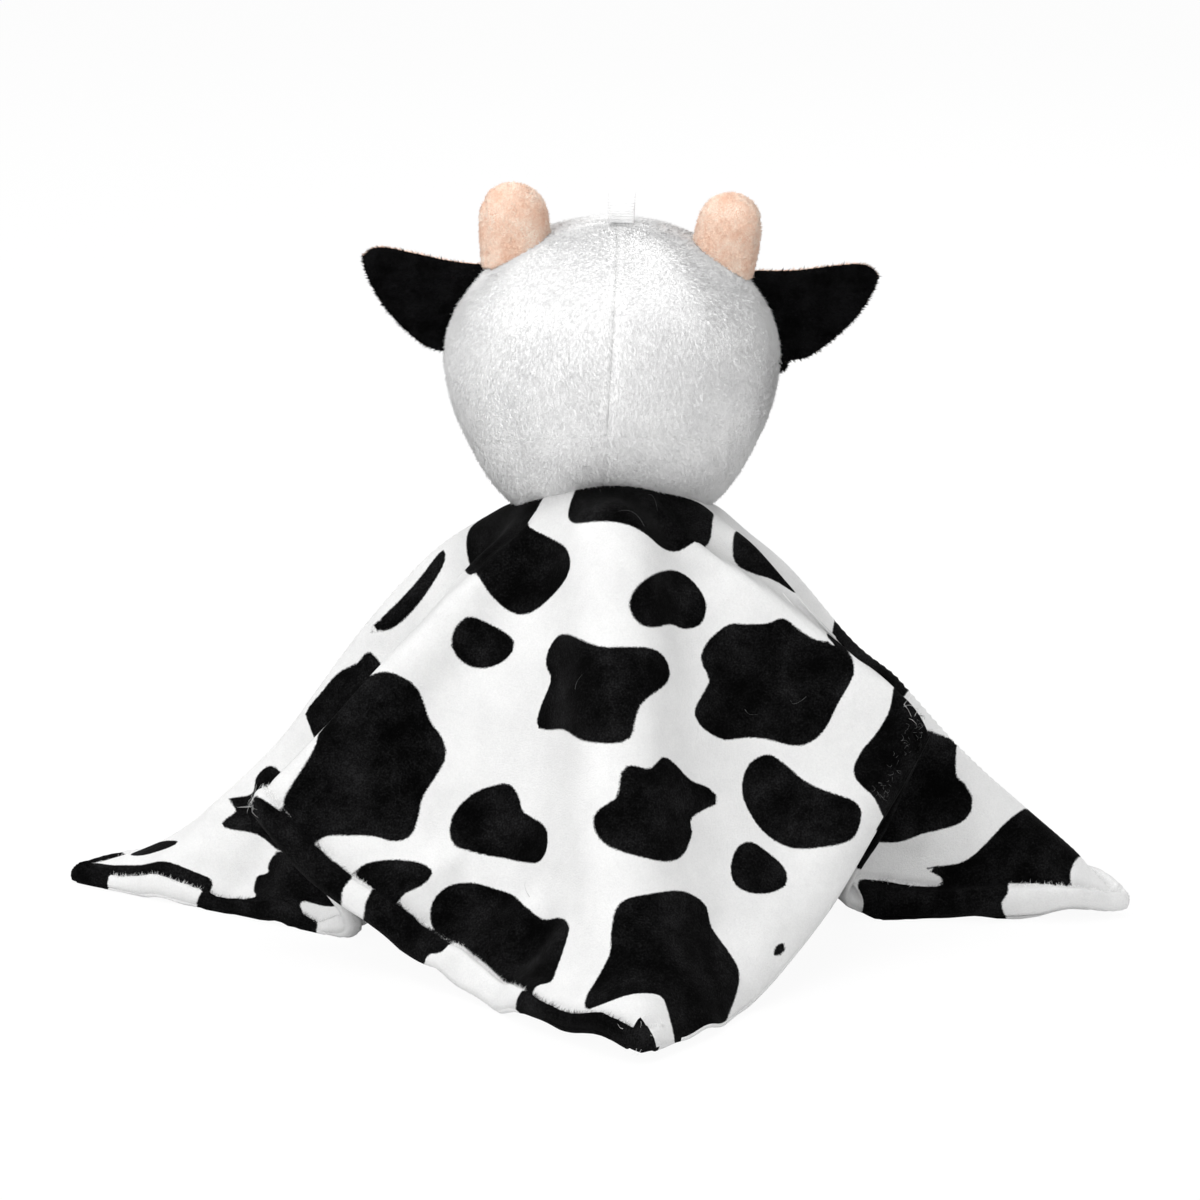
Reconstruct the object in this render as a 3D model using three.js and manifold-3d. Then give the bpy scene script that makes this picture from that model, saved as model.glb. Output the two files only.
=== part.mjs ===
// Comfort blanket lovey: a plush cow's head sewn to the middle of a square double-layer minky blanket.
// Millimetres, +Z up. The toy faces +Y, so its back, with the centre-back seam, faces -Y.
import * as THREE from 'three';
import { mergeVertices } from 'three/addons/utils/BufferGeometryUtils.js';
import Module from 'manifold-3d';

const wasm = await Module();
wasm.setup();

// Blanket
const blanketSide = 300;
const clothThickness = 2; // one layer of minky with its pile
const layerGap = 0.3;
const topstitchInset = 9; // hem edge to the topstitched line
const topstitchHeight = 3; // both layers pulled together by the stitches
const hemBeadInset = 4.5; // hem edge to the fullest part of the turned hem
const hemBeadHeight = 7;
const hemShoulderInset = 1.2;
const hemShoulderHeight = 5.6;
const hemEdgeHeight = 2;
const standDepth = 0.5; // how far the hem is pressed flat by what it lies on
const seamPatchRadius = 29; // flat round under the head
const neckHeight = 120; // middle of that round above the ground
const neckTilt = THREE.MathUtils.degToRad(15);

// Head
const headWidth = 99.4;
const headDepth = 94;
const headUpper = 40; // widest level up to the crown
const headLower = 50; // widest level down to the hidden tip under the neck
const headLevel = 41.5; // widest level above the blanket's middle
const coverThickness = 1.6;
const seatGap = 0.3; // between pieces that touch
const panelGap = 0.3; // between panels that a seam joins
const sideSeamPlane = -4; // the side seam, a little behind the head's middle

// Neck
const neckBallRadius = 9;
const neckBallGap = 0.4;
const neckConeLift = 2.3; // the head's underside over the cloth, at the middle
const neckConeSlope = THREE.MathUtils.degToRad(18.5);

// Ears
const earLength = 32;
const earBase = 27.6;
const earPanelThickness = 2.8;
const earEdgeThickness = 0.8; // a panel where the seam pinches it
const earRootDepth = 6; // past the base line, cut back by the head
const earGap = 0.5;
const earHornGap = 1.6; // room to flap beside the horn
const earFlap = THREE.MathUtils.degToRad(35); // each way, about the stitches along its base

// Horns
const hornLength = 17.4;
const hornBluntness = 2.5; // 2 for an ellipse, more for a thumb that keeps its width
const hornWidth = 20;
const hornDepth = 16.5;
const hornSeatGap = 0.5;
const hornRootDepth = 7; // below the seat, cut off square to the head there
const hornForward = -5; // beside the side seam

// Muzzle, eyes and the dark patch
const muzzleWidth = 56;
const muzzleHeight = 33;
const muzzleDepth = 36;
const muzzleCentreShare = 0.79; // forward, of half the head's depth
const muzzleDropShare = 0.36; // down, of the head's lower height
const muzzleCoverThickness = 1.4;
const nostrilWidth = 5.4;
const nostrilHeight = 3.8;
const nostrilSpacing = 21;
const nostrilRise = 5; // above the muzzle's middle
const embroideryHeight = 0.8;
const eyeWidth = 8.4;
const eyeHeight = 10.6;
const eyeSpacingShare = 0.37; // of the head's width
const eyeRise = 4;
const patchWidth = 44;
const patchHeight = 33;
const patchCentreShare = 0.58; // to the side, of half the head's width
const patchRise = 1.5;
const patchLean = THREE.MathUtils.degToRad(-14);
const patchThickness = 0.9;

// Hanging loop of grosgrain ribbon
const ribbonWidth = 7.5;
const ribbonThickness = 0.7;
const loopHeight = 6.4;
const loopDepth = 6.4;
const loopOffset = 2.6; // to the right of the middle, seen from behind

// Fineness of the curved surfaces
const headSides = 40;
const headRings = 18;
const muzzleSides = 24;
const muzzleRings = 12;
const smallSides = 20;
const smallRings = 10;
const ballSides = 16;
const earSteps = 9;
const earBands = 6;
const fieldRings = 7;
const widestStation = 10.5; // degrees of flat cloth between two lines of the drape
const overrun = 30; // how far a cutting shape runs past what it cuts

// How the cloth hangs. Each line runs from the seam patch to the hem: its direction on the flat cloth,
// then where its hem end stands: bearing, reach as a share of half the side, rise as a share of the
// neck's height. The last two are its fall in degrees at the neck and at the hem. Corners lie at 0, 90,
// 180 and 270; the quarter around 270 hangs as one broad panel with both edges folded back under it.
const drapeShares = [
  [0, 350, 1.03, 0, 45, 26],
  [9, 1.5, 0.78, 0.01, 42, 9],
  [19, 22, 0.54, 0, 50, 28],
  [32, 35, 0.68, 0.16, 42, 40],
  [45, 44, 0.75, 0.27, 34, 42],
  [58, 55, 0.67, 0.16, 42, 40],
  [70, 68, 0.56, 0, 50, 28],
  [80, 81, 0.77, 0, 45, 2],
  [90, 90, 1.01, 0, 38, 0],
  [100, 99, 0.77, 0, 45, 2],
  [110, 112, 0.56, 0, 50, 28],
  [122, 125, 0.67, 0.16, 42, 40],
  [135, 136, 0.75, 0.27, 34, 42],
  [148, 145, 0.7, 0.16, 42, 40],
  [161, 155, 0.57, 0, 50, 28],
  [170, 170, 0.83, 0, 40, 2],
  [180, 178, 1.09, 0, 32, 0],
  [193, 191, 0.79, 0, 44, 2],
  [206, 211, 0.6, 0, 52, 20],
  [215, 210, 0.67, 0.16, 42, 38],
  [225, 209, 0.78, 0.33, 22, 44],
  [233, 218, 0.74, 0.21, 26, 42],
  [244, 232.5, 0.665, 0.07, 31, 34],
  [254, 247.5, 0.7, 0.01, 27, 16],
  [270, 273, 0.97, 0, 20, 0],
  [284, 293.5, 0.74, 0.055, 22, 34],
  [295, 308.5, 0.68, 0.195, 22, 43],
  [305, 321, 0.67, 0.355, 20, 44],
  [315, 330, 0.7, 0.52, 14, 36],
  [327, 332, 0.6, 0.25, 32, 40],
  [341, 337, 0.53, 0, 47, 30],
  [350, 344.5, 0.775, 0.005, 42, 10],
];

// Ear outline from the base line to the tip, as shares of its length and of half its base.
const earUpperShares = [[0, 1], [0.28, 0.77], [0.57, 0.61], [0.81, 0.48], [0.94, 0.34], [1, 0.09]];
const earLowerShares = [[0, -1], [0.17, -1.05], [0.4, -0.91], [0.67, -0.62], [0.87, -0.27], [1, 0.09]];

const colours = {
  whitePlush: 0xf2f1ee,
  blackPlush: 0x17171a,
  cowPrint: 0xe9e8e4,
  cowLining: 0xdedcd7,
  peachMinky: 0xf0c3a2,
  polyesterFill: 0xf7f6f2,
  rosePink: 0xb5676a,
  blackThread: 0x0c0c0e,
  whiteRibbon: 0xfafafa,
};

const up = new THREE.Vector3(0, 0, 1);
const radians = THREE.MathUtils.degToRad;

// Closed geometry with its vertices shared, no collapsed triangles and its faces pointing out.
function weld(geometry) {
  const plain = geometry.clone();
  plain.deleteAttribute('normal');
  plain.deleteAttribute('uv');
  const merged = mergeVertices(plain);
  const corners = merged.index.array;
  const kept = [];
  for (let i = 0; i < corners.length; i += 3) {
    const [a, b, c] = [corners[i], corners[i + 1], corners[i + 2]];
    if (a !== b && b !== c && c !== a) kept.push(a, b, c);
  }
  merged.setIndex(kept);
  if (signedVolume(merged) < 0) {
    for (let i = 0; i < kept.length; i += 3) [kept[i], kept[i + 1]] = [kept[i + 1], kept[i]];
    merged.setIndex(kept);
  }
  return merged;
}

function signedVolume(geometry) {
  const position = geometry.attributes.position;
  const corners = geometry.index.array;
  const [a, b, c] = [new THREE.Vector3(), new THREE.Vector3(), new THREE.Vector3()];
  let volume = 0;
  for (let i = 0; i < corners.length; i += 3) {
    a.fromBufferAttribute(position, corners[i]);
    b.fromBufferAttribute(position, corners[i + 1]);
    c.fromBufferAttribute(position, corners[i + 2]);
    volume += a.dot(b.cross(c)) / 6;
  }
  return volume;
}

function toSolid(geometry) {
  const closed = weld(geometry);
  return new wasm.Manifold(new wasm.Mesh({
    numProp: 3,
    vertProperties: new Float32Array(closed.attributes.position.array),
    triVerts: new Uint32Array(closed.index.array),
  }));
}

function toGeometry(solid) {
  const mesh = solid.getMesh();
  const geometry = new THREE.BufferGeometry();
  geometry.setAttribute('position', new THREE.BufferAttribute(new Float32Array(mesh.vertProperties), 3));
  geometry.setIndex(new THREE.BufferAttribute(new Uint32Array(mesh.triVerts), 1));
  return geometry;
}

const cut = (body, ...tools) => toGeometry(
  tools.reduce((rest, tool) => rest.subtract(toSolid(tool)), toSolid(body)));
const meet = (body, ...others) => toGeometry(
  others.reduce((rest, other) => rest.intersect(toSolid(other)), toSolid(body)));
const moved = (geometry, matrix) => geometry.clone().applyMatrix4(matrix);

// Block between two opposite corners.
function block(low, high) {
  const size = new THREE.Vector3().subVectors(high, low);
  const geometry = new THREE.BoxGeometry(size.x, size.y, size.z);
  geometry.translate(low.x + size.x / 2, low.y + size.y / 2, low.z + size.z / 2);
  return geometry;
}

function ball(radius, sides = ballSides) {
  return new THREE.SphereGeometry(radius, sides, sides / 2);
}

// Frame of the seam patch: its middle, leaning so that the back edge stands higher than the front.
const neckFrame = new THREE.Matrix4().makeTranslation(0, 0, neckHeight)
  .multiply(new THREE.Matrix4().makeRotationX(-neckTilt));
const blanketHalf = clothThickness + layerGap / 2;
const pivotLift = blanketHalf + neckBallGap + neckBallRadius;
const headMiddle = neckHeight + headLevel;
const muzzleCentreDepth = muzzleCentreShare * headDepth / 2;
const muzzleLevel = headMiddle - muzzleDropShare * headLower;
const eyeSpacing = eyeSpacingShare * headWidth;
const patchCentre = patchCentreShare * headWidth / 2;
const headSpan = headWidth / 2 + overrun;

// Blanket
const halfSide = blanketSide / 2;
const hemRest = hemBeadHeight / 2 - standDepth;
const fullTurn = 360;
const quarterTurn = fullTurn / 4;

// Distance on the flat cloth from its middle to the hem; the corners lie on the axes.
function hemDistance(degrees) {
  const fromSideMiddle = (degrees % quarterTurn) - quarterTurn / 2;
  return halfSide / Math.cos(radians(fromSideMiddle));
}

// One line of the drape at a distance from the cloth's middle.
function drapeLine([flat, bearing, reachShare, riseShare, fallAtNeck, fallAtHem], distance) {
  const flatAngle = radians(flat);
  const start = new THREE.Vector3(Math.cos(flatAngle), Math.sin(flatAngle), 0)
    .multiplyScalar(seamPatchRadius);
  start.z = neckHeight - start.y * Math.tan(neckTilt);
  const end = new THREE.Vector3(Math.cos(radians(bearing)), Math.sin(radians(bearing)), 0)
    .multiplyScalar(reachShare * halfSide);
  end.z = hemRest + riseShare * neckHeight;
  const away = new THREE.Vector3(end.x - start.x, end.y - start.y, 0).normalize();
  const leave = new THREE.Vector3(Math.cos(flatAngle), Math.sin(flatAngle), 0)
    .multiplyScalar(Math.cos(radians(fallAtNeck)))
    .addScaledVector(up, -Math.sin(radians(fallAtNeck)));
  const arrive = away.multiplyScalar(Math.cos(radians(fallAtHem)))
    .addScaledVector(up, -Math.sin(radians(fallAtHem)));
  const length = hemDistance(flat) - seamPatchRadius;
  const share = (distance - seamPatchRadius) / length;
  if (share > 1) {
    end.addScaledVector(arrive, (share - 1) * length);
    end.z = Math.max(end.z, hemRest);
    return end;
  }
  return hermite(start, leave.multiplyScalar(length), end, arrive.multiplyScalar(length), share);
}

function hermite(start, leave, end, arrive, share) {
  const square = share * share;
  const cube = square * share;
  return start.clone().multiplyScalar(2 * cube - 3 * square + 1)
    .addScaledVector(leave, cube - 2 * square + share)
    .addScaledVector(end, 3 * square - 2 * cube)
    .addScaledVector(arrive, cube - square);
}

// The cloth's middle surface: a smooth closed spline through the lines at one distance.
function drape(distance, degrees) {
  const turn = THREE.MathUtils.euclideanModulo(degrees, fullTurn);
  if (distance < seamPatchRadius) {
    const flat = new THREE.Vector3(Math.cos(radians(turn)), Math.sin(radians(turn)), 0)
      .multiplyScalar(distance);
    flat.z = neckHeight - flat.y * Math.tan(neckTilt);
    return flat;
  }
  const count = drapeShares.length;
  let index = 0;
  while (index + 1 < count && drapeShares[index + 1][0] <= turn) index += 1;
  const around = [-1, 0, 1, 2].map((step) => {
    const line = drapeShares[(index + step + count) % count];
    const lap = Math.floor((index + step) / count) * fullTurn;
    return { angle: line[0] + lap, place: drapeLine(line, distance) };
  });
  const slope = (before, here, after) => {
    const first = new THREE.Vector3().subVectors(here.place, before.place)
      .divideScalar(here.angle - before.angle);
    const second = new THREE.Vector3().subVectors(after.place, here.place)
      .divideScalar(after.angle - here.angle);
    return first.lerp(second, (here.angle - before.angle) / (after.angle - before.angle));
  };
  const [before, here, next, after] = around;
  const gap = next.angle - here.angle;
  return hermite(here.place, slope(before, here, next).multiplyScalar(gap),
    next.place, slope(here, next, after).multiplyScalar(gap), (turn - here.angle) / gap);
}

function drapeNormal(distance, degrees) {
  const step = clothThickness / 2;
  const turnStep = THREE.MathUtils.radToDeg(step / Math.max(distance, step));
  const along = new THREE.Vector3().subVectors(
    drape(distance + step, degrees), drape(Math.max(distance - step, 0), degrees));
  const across = new THREE.Vector3().subVectors(
    drape(distance, degrees + turnStep), drape(distance, degrees - turnStep));
  return along.cross(across).normalize();
}

// Directions in which the cloth is sampled: every line, and the middle of each wide gap.
function stations() {
  const angles = [];
  drapeShares.forEach(([flat], index) => {
    const next = index + 1 < drapeShares.length ? drapeShares[index + 1][0] : fullTurn;
    angles.push(flat);
    if (next - flat > widestStation) angles.push((flat + next) / 2);
  });
  return angles;
}

// Rings from the seam patch to the hem: insets from the hem and the blanket's height there.
const hemRings = [
  [topstitchInset, topstitchHeight],
  [hemBeadInset, hemBeadHeight],
  [hemShoulderInset, hemShoulderHeight],
  [0, hemEdgeHeight],
];

function ringsAt(degrees) {
  const hem = hemDistance(degrees);
  const field = hem - topstitchInset - seamPatchRadius;
  const rings = [];
  for (let ring = 0; ring < fieldRings; ring += 1) {
    rings.push([seamPatchRadius + field * ring / fieldRings, 2 * blanketHalf]);
  }
  hemRings.forEach(([inset, height]) => rings.push([hem - inset, height]));
  return rings;
}

// One layer of the blanket: side 1 is the outside, side -1 the lining.
function blanketLayer(side) {
  const angles = stations();
  const skins = [[], []];
  const middle = drape(0, 0);
  const middleNormal = up.clone().transformDirection(neckFrame);
  skins[0].push(middle.clone().addScaledVector(middleNormal, side * blanketHalf));
  skins[1].push(middle.clone().addScaledVector(middleNormal, side * layerGap / 2));
  angles.forEach((degrees) => ringsAt(degrees).forEach(([distance, height]) => {
    const place = drape(distance, degrees);
    const normal = drapeNormal(distance, degrees);
    skins[0].push(place.clone().addScaledVector(normal, side * height / 2));
    skins[1].push(place.clone().addScaledVector(normal, side * layerGap / 2));
  }));
  const ringCount = fieldRings + hemRings.length;
  const skinSize = skins[0].length;
  const at = (skin, station, ring) =>
    skin * skinSize + 1 + (station % angles.length) * ringCount + ring;
  const faces = [];
  for (let station = 0; station < angles.length; station += 1) {
    faces.push(0, at(0, station, 0), at(0, station + 1, 0));
    faces.push(skinSize, at(1, station + 1, 0), at(1, station, 0));
    for (let ring = 0; ring + 1 < ringCount; ring += 1) {
      const near = [at(0, station, ring), at(0, station, ring + 1)];
      const far = [at(0, station + 1, ring), at(0, station + 1, ring + 1)];
      faces.push(near[0], near[1], far[1], near[0], far[1], far[0]);
      const [a, b, c, d] = [...near, ...far].map((corner) => corner + skinSize);
      faces.push(a, d, b, a, c, d);
    }
    const rim = ringCount - 1;
    const [a, b] = [at(0, station, rim), at(0, station + 1, rim)];
    faces.push(a, a + skinSize, b + skinSize, a, b + skinSize, b);
  }
  const geometry = new THREE.BufferGeometry();
  const points = [...skins[0], ...skins[1]].flatMap((point) => point.toArray());
  geometry.setAttribute('position', new THREE.Float32BufferAttribute(points, 3));
  geometry.setIndex(faces);
  return weld(geometry);
}

// Everything under the level that the pressed hem stands on.
const ground = block(
  new THREE.Vector3(-blanketSide, -blanketSide, -overrun), new THREE.Vector3(blanketSide, blanketSide, 0));

// Head
function headForm(grow) {
  const form = new THREE.SphereGeometry(1, headSides, headRings);
  form.rotateX(Math.PI / 2);
  const position = form.attributes.position;
  for (let i = 0; i < position.count; i += 1) {
    const height = position.getZ(i) < 0 ? headLower : headUpper;
    position.setX(i, position.getX(i) * (headWidth / 2 + grow));
    position.setY(i, position.getY(i) * (headDepth / 2 + grow));
    position.setZ(i, position.getZ(i) * (height + grow));
  }
  form.translate(0, 0, headMiddle);
  return form;
}

// Point on the head's outside above or below its widest level, for a place seen from above.
function crownPoint(x, y) {
  const flat = (x / (headWidth / 2)) ** 2 + (y / (headDepth / 2)) ** 2;
  return new THREE.Vector3(x, y, headMiddle + headUpper * Math.sqrt(1 - flat));
}

function crownNormal(point) {
  return new THREE.Vector3(
    point.x / (headWidth / 2) ** 2,
    point.y / (headDepth / 2) ** 2,
    (point.z - headMiddle) / headUpper ** 2,
  ).normalize();
}

// Room under the head: a cone with a level brim that lets it lean, and the socket of the neck's stuffing.
function neckCone(drop) {
  const lift = blanketHalf + neckConeLift - drop;
  const brim = lift + seamPatchRadius * Math.tan(neckConeSlope);
  const outline = [
    new THREE.Vector2(0, -headSpan),
    new THREE.Vector2(headSpan, -headSpan),
    new THREE.Vector2(headSpan, brim),
    new THREE.Vector2(seamPatchRadius, brim),
    new THREE.Vector2(0, lift),
  ];
  const cone = new THREE.LatheGeometry(outline, headSides);
  cone.rotateX(Math.PI / 2);
  return moved(cone, neckFrame);
}

function neckSocket(grow) {
  const socket = ball(neckBallRadius + grow);
  socket.translate(0, 0, pivotLift);
  return moved(socket, neckFrame);
}

function headShell() {
  return cut(headForm(0), headForm(-coverThickness), neckCone(0), neckSocket(neckBallGap));
}

// A part of the head's shell: x and y limits in the lovey's frame.
function headPanel(lowX, highX, lowY, highY) {
  const low = new THREE.Vector3(lowX, lowY, headMiddle - headLower - overrun);
  const high = new THREE.Vector3(highX, highY, headMiddle + headUpper + overrun);
  return meet(headShell(), block(low, high));
}

function headFilling() {
  return cut(headForm(-coverThickness - seatGap), neckCone(0), neckSocket(neckBallGap));
}

// The gathered plush between the head and the cloth, round the neck's stuffing.
function neckGather() {
  const clothTop = blanketHalf + seatGap;
  const underCloth = block(
    new THREE.Vector3(-headSpan, -headSpan, -headSpan), new THREE.Vector3(headSpan, headSpan, clothTop));
  return cut(meet(headForm(0), neckCone(seatGap)), moved(underCloth, neckFrame), neckSocket(neckBallGap));
}

// Oval post along Y that stands on the face, from a start that lies inside the form it marks.
function facePost(start, centreX, centreZ, width, height, lean) {
  const outline = new THREE.Shape();
  outline.absellipse(0, 0, width / 2, height / 2, 0, 2 * Math.PI, false, lean);
  const depth = headDepth / 2 + overrun;
  const post = new THREE.ExtrudeGeometry(outline, { depth, bevelEnabled: false, curveSegments: smallSides });
  post.rotateX(Math.PI / 2);
  post.scale(1, -1, 1);
  post.translate(centreX, start, centreZ);
  return post;
}

function onFace(post, inner, outer) {
  return meet(cut(headForm(outer), headForm(inner)), post);
}

const faceStart = panelGap;
const eyeLevel = headMiddle + eyeRise;
const patchTop = seatGap + patchThickness;

function eyePatch() {
  const post = facePost(faceStart, patchCentre, headMiddle + patchRise, patchWidth, patchHeight, patchLean);
  return cut(onFace(post, seatGap, patchTop), muzzleForm(seatGap), earRoom(ears.right));
}

function eye(side) {
  const base = side > 0 ? patchTop + seatGap : seatGap;
  const post = facePost(faceStart, side * eyeSpacing / 2, eyeLevel, eyeWidth, eyeHeight, 0);
  return onFace(post, base, base + embroideryHeight);
}

// Muzzle
function muzzleForm(grow) {
  const form = new THREE.SphereGeometry(1, muzzleSides, muzzleRings);
  form.rotateX(Math.PI / 2);
  form.scale(muzzleWidth / 2 + grow, muzzleDepth / 2 + grow, muzzleHeight / 2 + grow);
  form.translate(0, muzzleCentreDepth, muzzleLevel);
  return form;
}

function muzzleCover() {
  return cut(muzzleForm(0), muzzleForm(-muzzleCoverThickness), headForm(seatGap));
}

function muzzleFilling() {
  return cut(muzzleForm(-muzzleCoverThickness - seatGap), headForm(seatGap));
}

function nostril(side) {
  const level = muzzleLevel + nostrilRise;
  const post = facePost(muzzleCentreDepth, side * nostrilSpacing / 2, level, nostrilWidth, nostrilHeight, 0);
  return meet(cut(muzzleForm(seatGap + embroideryHeight), muzzleForm(seatGap)), post);
}

// Horns. In its own frame a horn stands on the origin with its axis along Z.
function hornForm(grow) {
  const rise = hornLength + hornRootDepth;
  const form = new THREE.SphereGeometry(1, smallSides, smallRings);
  form.rotateX(Math.PI / 2);
  const position = form.attributes.position;
  for (let i = 0; i < position.count; i += 1) {
    const z = position.getZ(i);
    const flat = Math.hypot(position.getX(i), position.getY(i));
    const width = flat > 0 ? Math.sqrt(1 - Math.min(Math.abs(z), 1) ** hornBluntness) / flat : 0;
    position.setX(i, position.getX(i) * width * (hornWidth / 2 + grow));
    position.setY(i, position.getY(i) * width * (hornDepth / 2 + grow));
    position.setZ(i, z * (rise / 2 + grow));
  }
  form.translate(0, 0, rise / 2 - hornRootDepth);
  return form;
}

// How far out a horn stands is a share of half the head's width.
const horns = {
  left: { side: -1, outShare: 0.549, lean: radians(5) },
  right: { side: 1, outShare: 0.655, lean: radians(11) },
};

function hornPlacement({ side, outShare, lean }) {
  const seat = crownPoint(side * outShare * headWidth / 2, hornForward);
  const frame = new THREE.Matrix4().makeRotationY(side * lean);
  return frame.setPosition(seat);
}

// Everything under the plane that touches the head at a horn's seat, in the horn's own frame.
function hornSeat(horn) {
  const placement = hornPlacement(horn);
  const seat = new THREE.Vector3().setFromMatrixPosition(placement);
  const turn = new THREE.Quaternion().setFromUnitVectors(up, crownNormal(seat));
  const under = block(
    new THREE.Vector3(-overrun, -overrun, -overrun), new THREE.Vector3(overrun, overrun, hornSeatGap));
  const inWorld = moved(under, new THREE.Matrix4().makeRotationFromQuaternion(turn).setPosition(seat));
  return moved(inWorld, placement.invert());
}

function hornCover(horn) {
  return cut(hornForm(0), hornForm(-coverThickness), hornSeat(horn));
}

function hornFilling(horn) {
  return cut(hornForm(-coverThickness - seatGap), hornSeat(horn));
}

// Ears. In its own frame an ear lies in XZ: X runs from its base to its tip, its back faces -Y.
// Its height on the head is a share of the head's upper height; its base line sinks inside the bulge.
const ears = {
  left: { side: -1, riseShare: 0.3425, angle: radians(25.5), sink: 4.5 },
  right: { side: 1, riseShare: 0.285, angle: radians(19.3), sink: 2 },
};

const spline = (shares) => new THREE.SplineCurve(
  shares.map(([along, across]) => new THREE.Vector2(along * earLength, across * earBase / 2)));

// One panel: flat on its inside, swelling outside, thin along the seam.
function earPanel(facing) {
  const upper = spline(earUpperShares);
  const lower = spline(earLowerShares);
  const rows = [];
  for (let step = 0; step <= earSteps; step += 1) {
    const share = step / earSteps;
    const [high, low] = [upper.getPoint(share), lower.getPoint(share)];
    const row = [];
    for (let band = 0; band <= earBands; band += 1) {
      const across = band / earBands;
      const middle = low.clone().lerp(high, across);
      const ends = (1 - share ** 4) * (1 - (1 - share) ** 8);
      const swell = Math.sqrt(Math.max(0, 4 * across * (1 - across)) * ends);
      const height = earEdgeThickness + (earPanelThickness - earEdgeThickness) * swell;
      row.push([middle, height]);
    }
    rows.push(row);
  }
  // The root runs on into the head, which cuts it back.
  rows.unshift(rows[0].map(([middle, height]) => [new THREE.Vector2(-earRootDepth, middle.y), height]));
  const skins = [0, 1].map((skin) => rows.flatMap((row) => row.flatMap(([middle, height]) =>
    [middle.x, facing * (panelGap / 2 + skin * height), middle.y])));
  const size = rows.length * (earBands + 1);
  const at = (row, band) => row * (earBands + 1) + band;
  const faces = [];
  const quad = (a, b, c, d) => faces.push(a, b, c, a, c, d);
  for (let row = 0; row + 1 < rows.length; row += 1) {
    for (let band = 0; band < earBands; band += 1) {
      const [a, b, c, d] = [at(row, band), at(row + 1, band), at(row + 1, band + 1), at(row, band + 1)];
      quad(a, b, c, d);
      quad(a + size, d + size, c + size, b + size);
    }
    quad(at(row, 0), at(row, 0) + size, at(row + 1, 0) + size, at(row + 1, 0));
    quad(at(row + 1, earBands), at(row + 1, earBands) + size, at(row, earBands) + size, at(row, earBands));
  }
  for (let band = 0; band < earBands; band += 1) {
    const last = rows.length - 1;
    quad(at(0, band + 1), at(0, band + 1) + size, at(0, band) + size, at(0, band));
    quad(at(last, band), at(last, band) + size, at(last, band + 1) + size, at(last, band + 1));
  }
  const geometry = new THREE.BufferGeometry();
  geometry.setAttribute('position', new THREE.Float32BufferAttribute(skins.flat(), 3));
  geometry.setIndex(faces);
  return weld(geometry);
}

function earPlacement({ side, riseShare, angle, sink }) {
  const bulge = headWidth / 2 * Math.sqrt(1 - riseShare ** 2);
  const level = headMiddle + riseShare * headUpper;
  const baseMiddle = new THREE.Vector3(side * (bulge - sink), sideSeamPlane, level);
  const outward = new THREE.Matrix4().makeRotationY(-side * angle);
  const facing = new THREE.Matrix4().makeRotationZ(side > 0 ? 0 : Math.PI);
  return outward.multiply(facing).setPosition(baseMiddle);
}

// The head as an ear meets it when it has flapped by an angle about the line along its base.
function headAtFlap(ear, angle) {
  const stitchLine = ear.sink + earGap;
  const flap = new THREE.Matrix4().makeTranslation(stitchLine, 0, 0)
    .multiply(new THREE.Matrix4().makeRotationZ(angle))
    .multiply(new THREE.Matrix4().makeTranslation(-stitchLine, 0, 0));
  return moved(headForm(earGap), flap.multiply(earPlacement(ear).invert()));
}

// The left ear's frame is turned half round, so its back panel is on the other side of the plane.
function seatedEar(ear, horn, facing) {
  const inverse = earPlacement(ear).invert();
  const hornRoom = moved(moved(hornForm(earHornGap), hornPlacement(horn)), inverse);
  const flaps = [-1, -1 / 2, 0, 1 / 2, 1].map((share) => headAtFlap(ear, share * earFlap));
  return cut(earPanel(facing * ear.side), hornRoom, ...flaps);
}

// Space round an ear's root that the dark patch keeps clear of.
function earRoom(ear) {
  const depth = panelGap + earPanelThickness;
  const reach = earBase / 2 + earGap;
  const room = block(
    new THREE.Vector3(-earRootDepth, -depth, -reach), new THREE.Vector3(earLength, depth, reach));
  return moved(room, earPlacement(ear));
}

// Hanging loop: a ribbon folded into a drop that stands on the crown.
function hangingLoop() {
  const half = loopDepth / 2;
  const drop = (shrink) => {
    const width = half - shrink;
    const top = loopHeight - shrink;
    const foot = shrink;
    const outline = new THREE.Shape();
    outline.moveTo(-ribbonThickness + foot, foot);
    outline.bezierCurveTo(-width, foot + (top - foot) / 4, -width - foot, top, 0, top);
    outline.bezierCurveTo(width + foot, top, width, foot + (top - foot) / 4, ribbonThickness - foot, foot);
    outline.closePath();
    return outline;
  };
  const solidDrop = (shrink, depth) => {
    const shape = new THREE.ExtrudeGeometry(
      drop(shrink), { depth, bevelEnabled: false, curveSegments: smallRings });
    shape.translate(0, 0, -depth / 2);
    shape.rotateX(Math.PI / 2);
    shape.rotateZ(Math.PI / 2);
    return shape;
  };
  return cut(solidDrop(0, ribbonWidth), solidDrop(ribbonThickness, ribbonWidth + overrun));
}

// Assembly
const lovey = new THREE.Group();

function material(colour, roughness) {
  return new THREE.MeshStandardMaterial({ color: colour, roughness, metalness: 0 });
}

function addPiece(parent, name, geometry, colour, roughness = 0.95) {
  const mesh = new THREE.Mesh(geometry, material(colour, roughness));
  mesh.name = name;
  parent.add(mesh);
}

function addBlanket() {
  addPiece(lovey, 'blanket_top', cut(blanketLayer(1), ground), colours.cowPrint);
  addPiece(lovey, 'blanket_lining', cut(blanketLayer(-1), ground), colours.cowLining);
}

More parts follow.
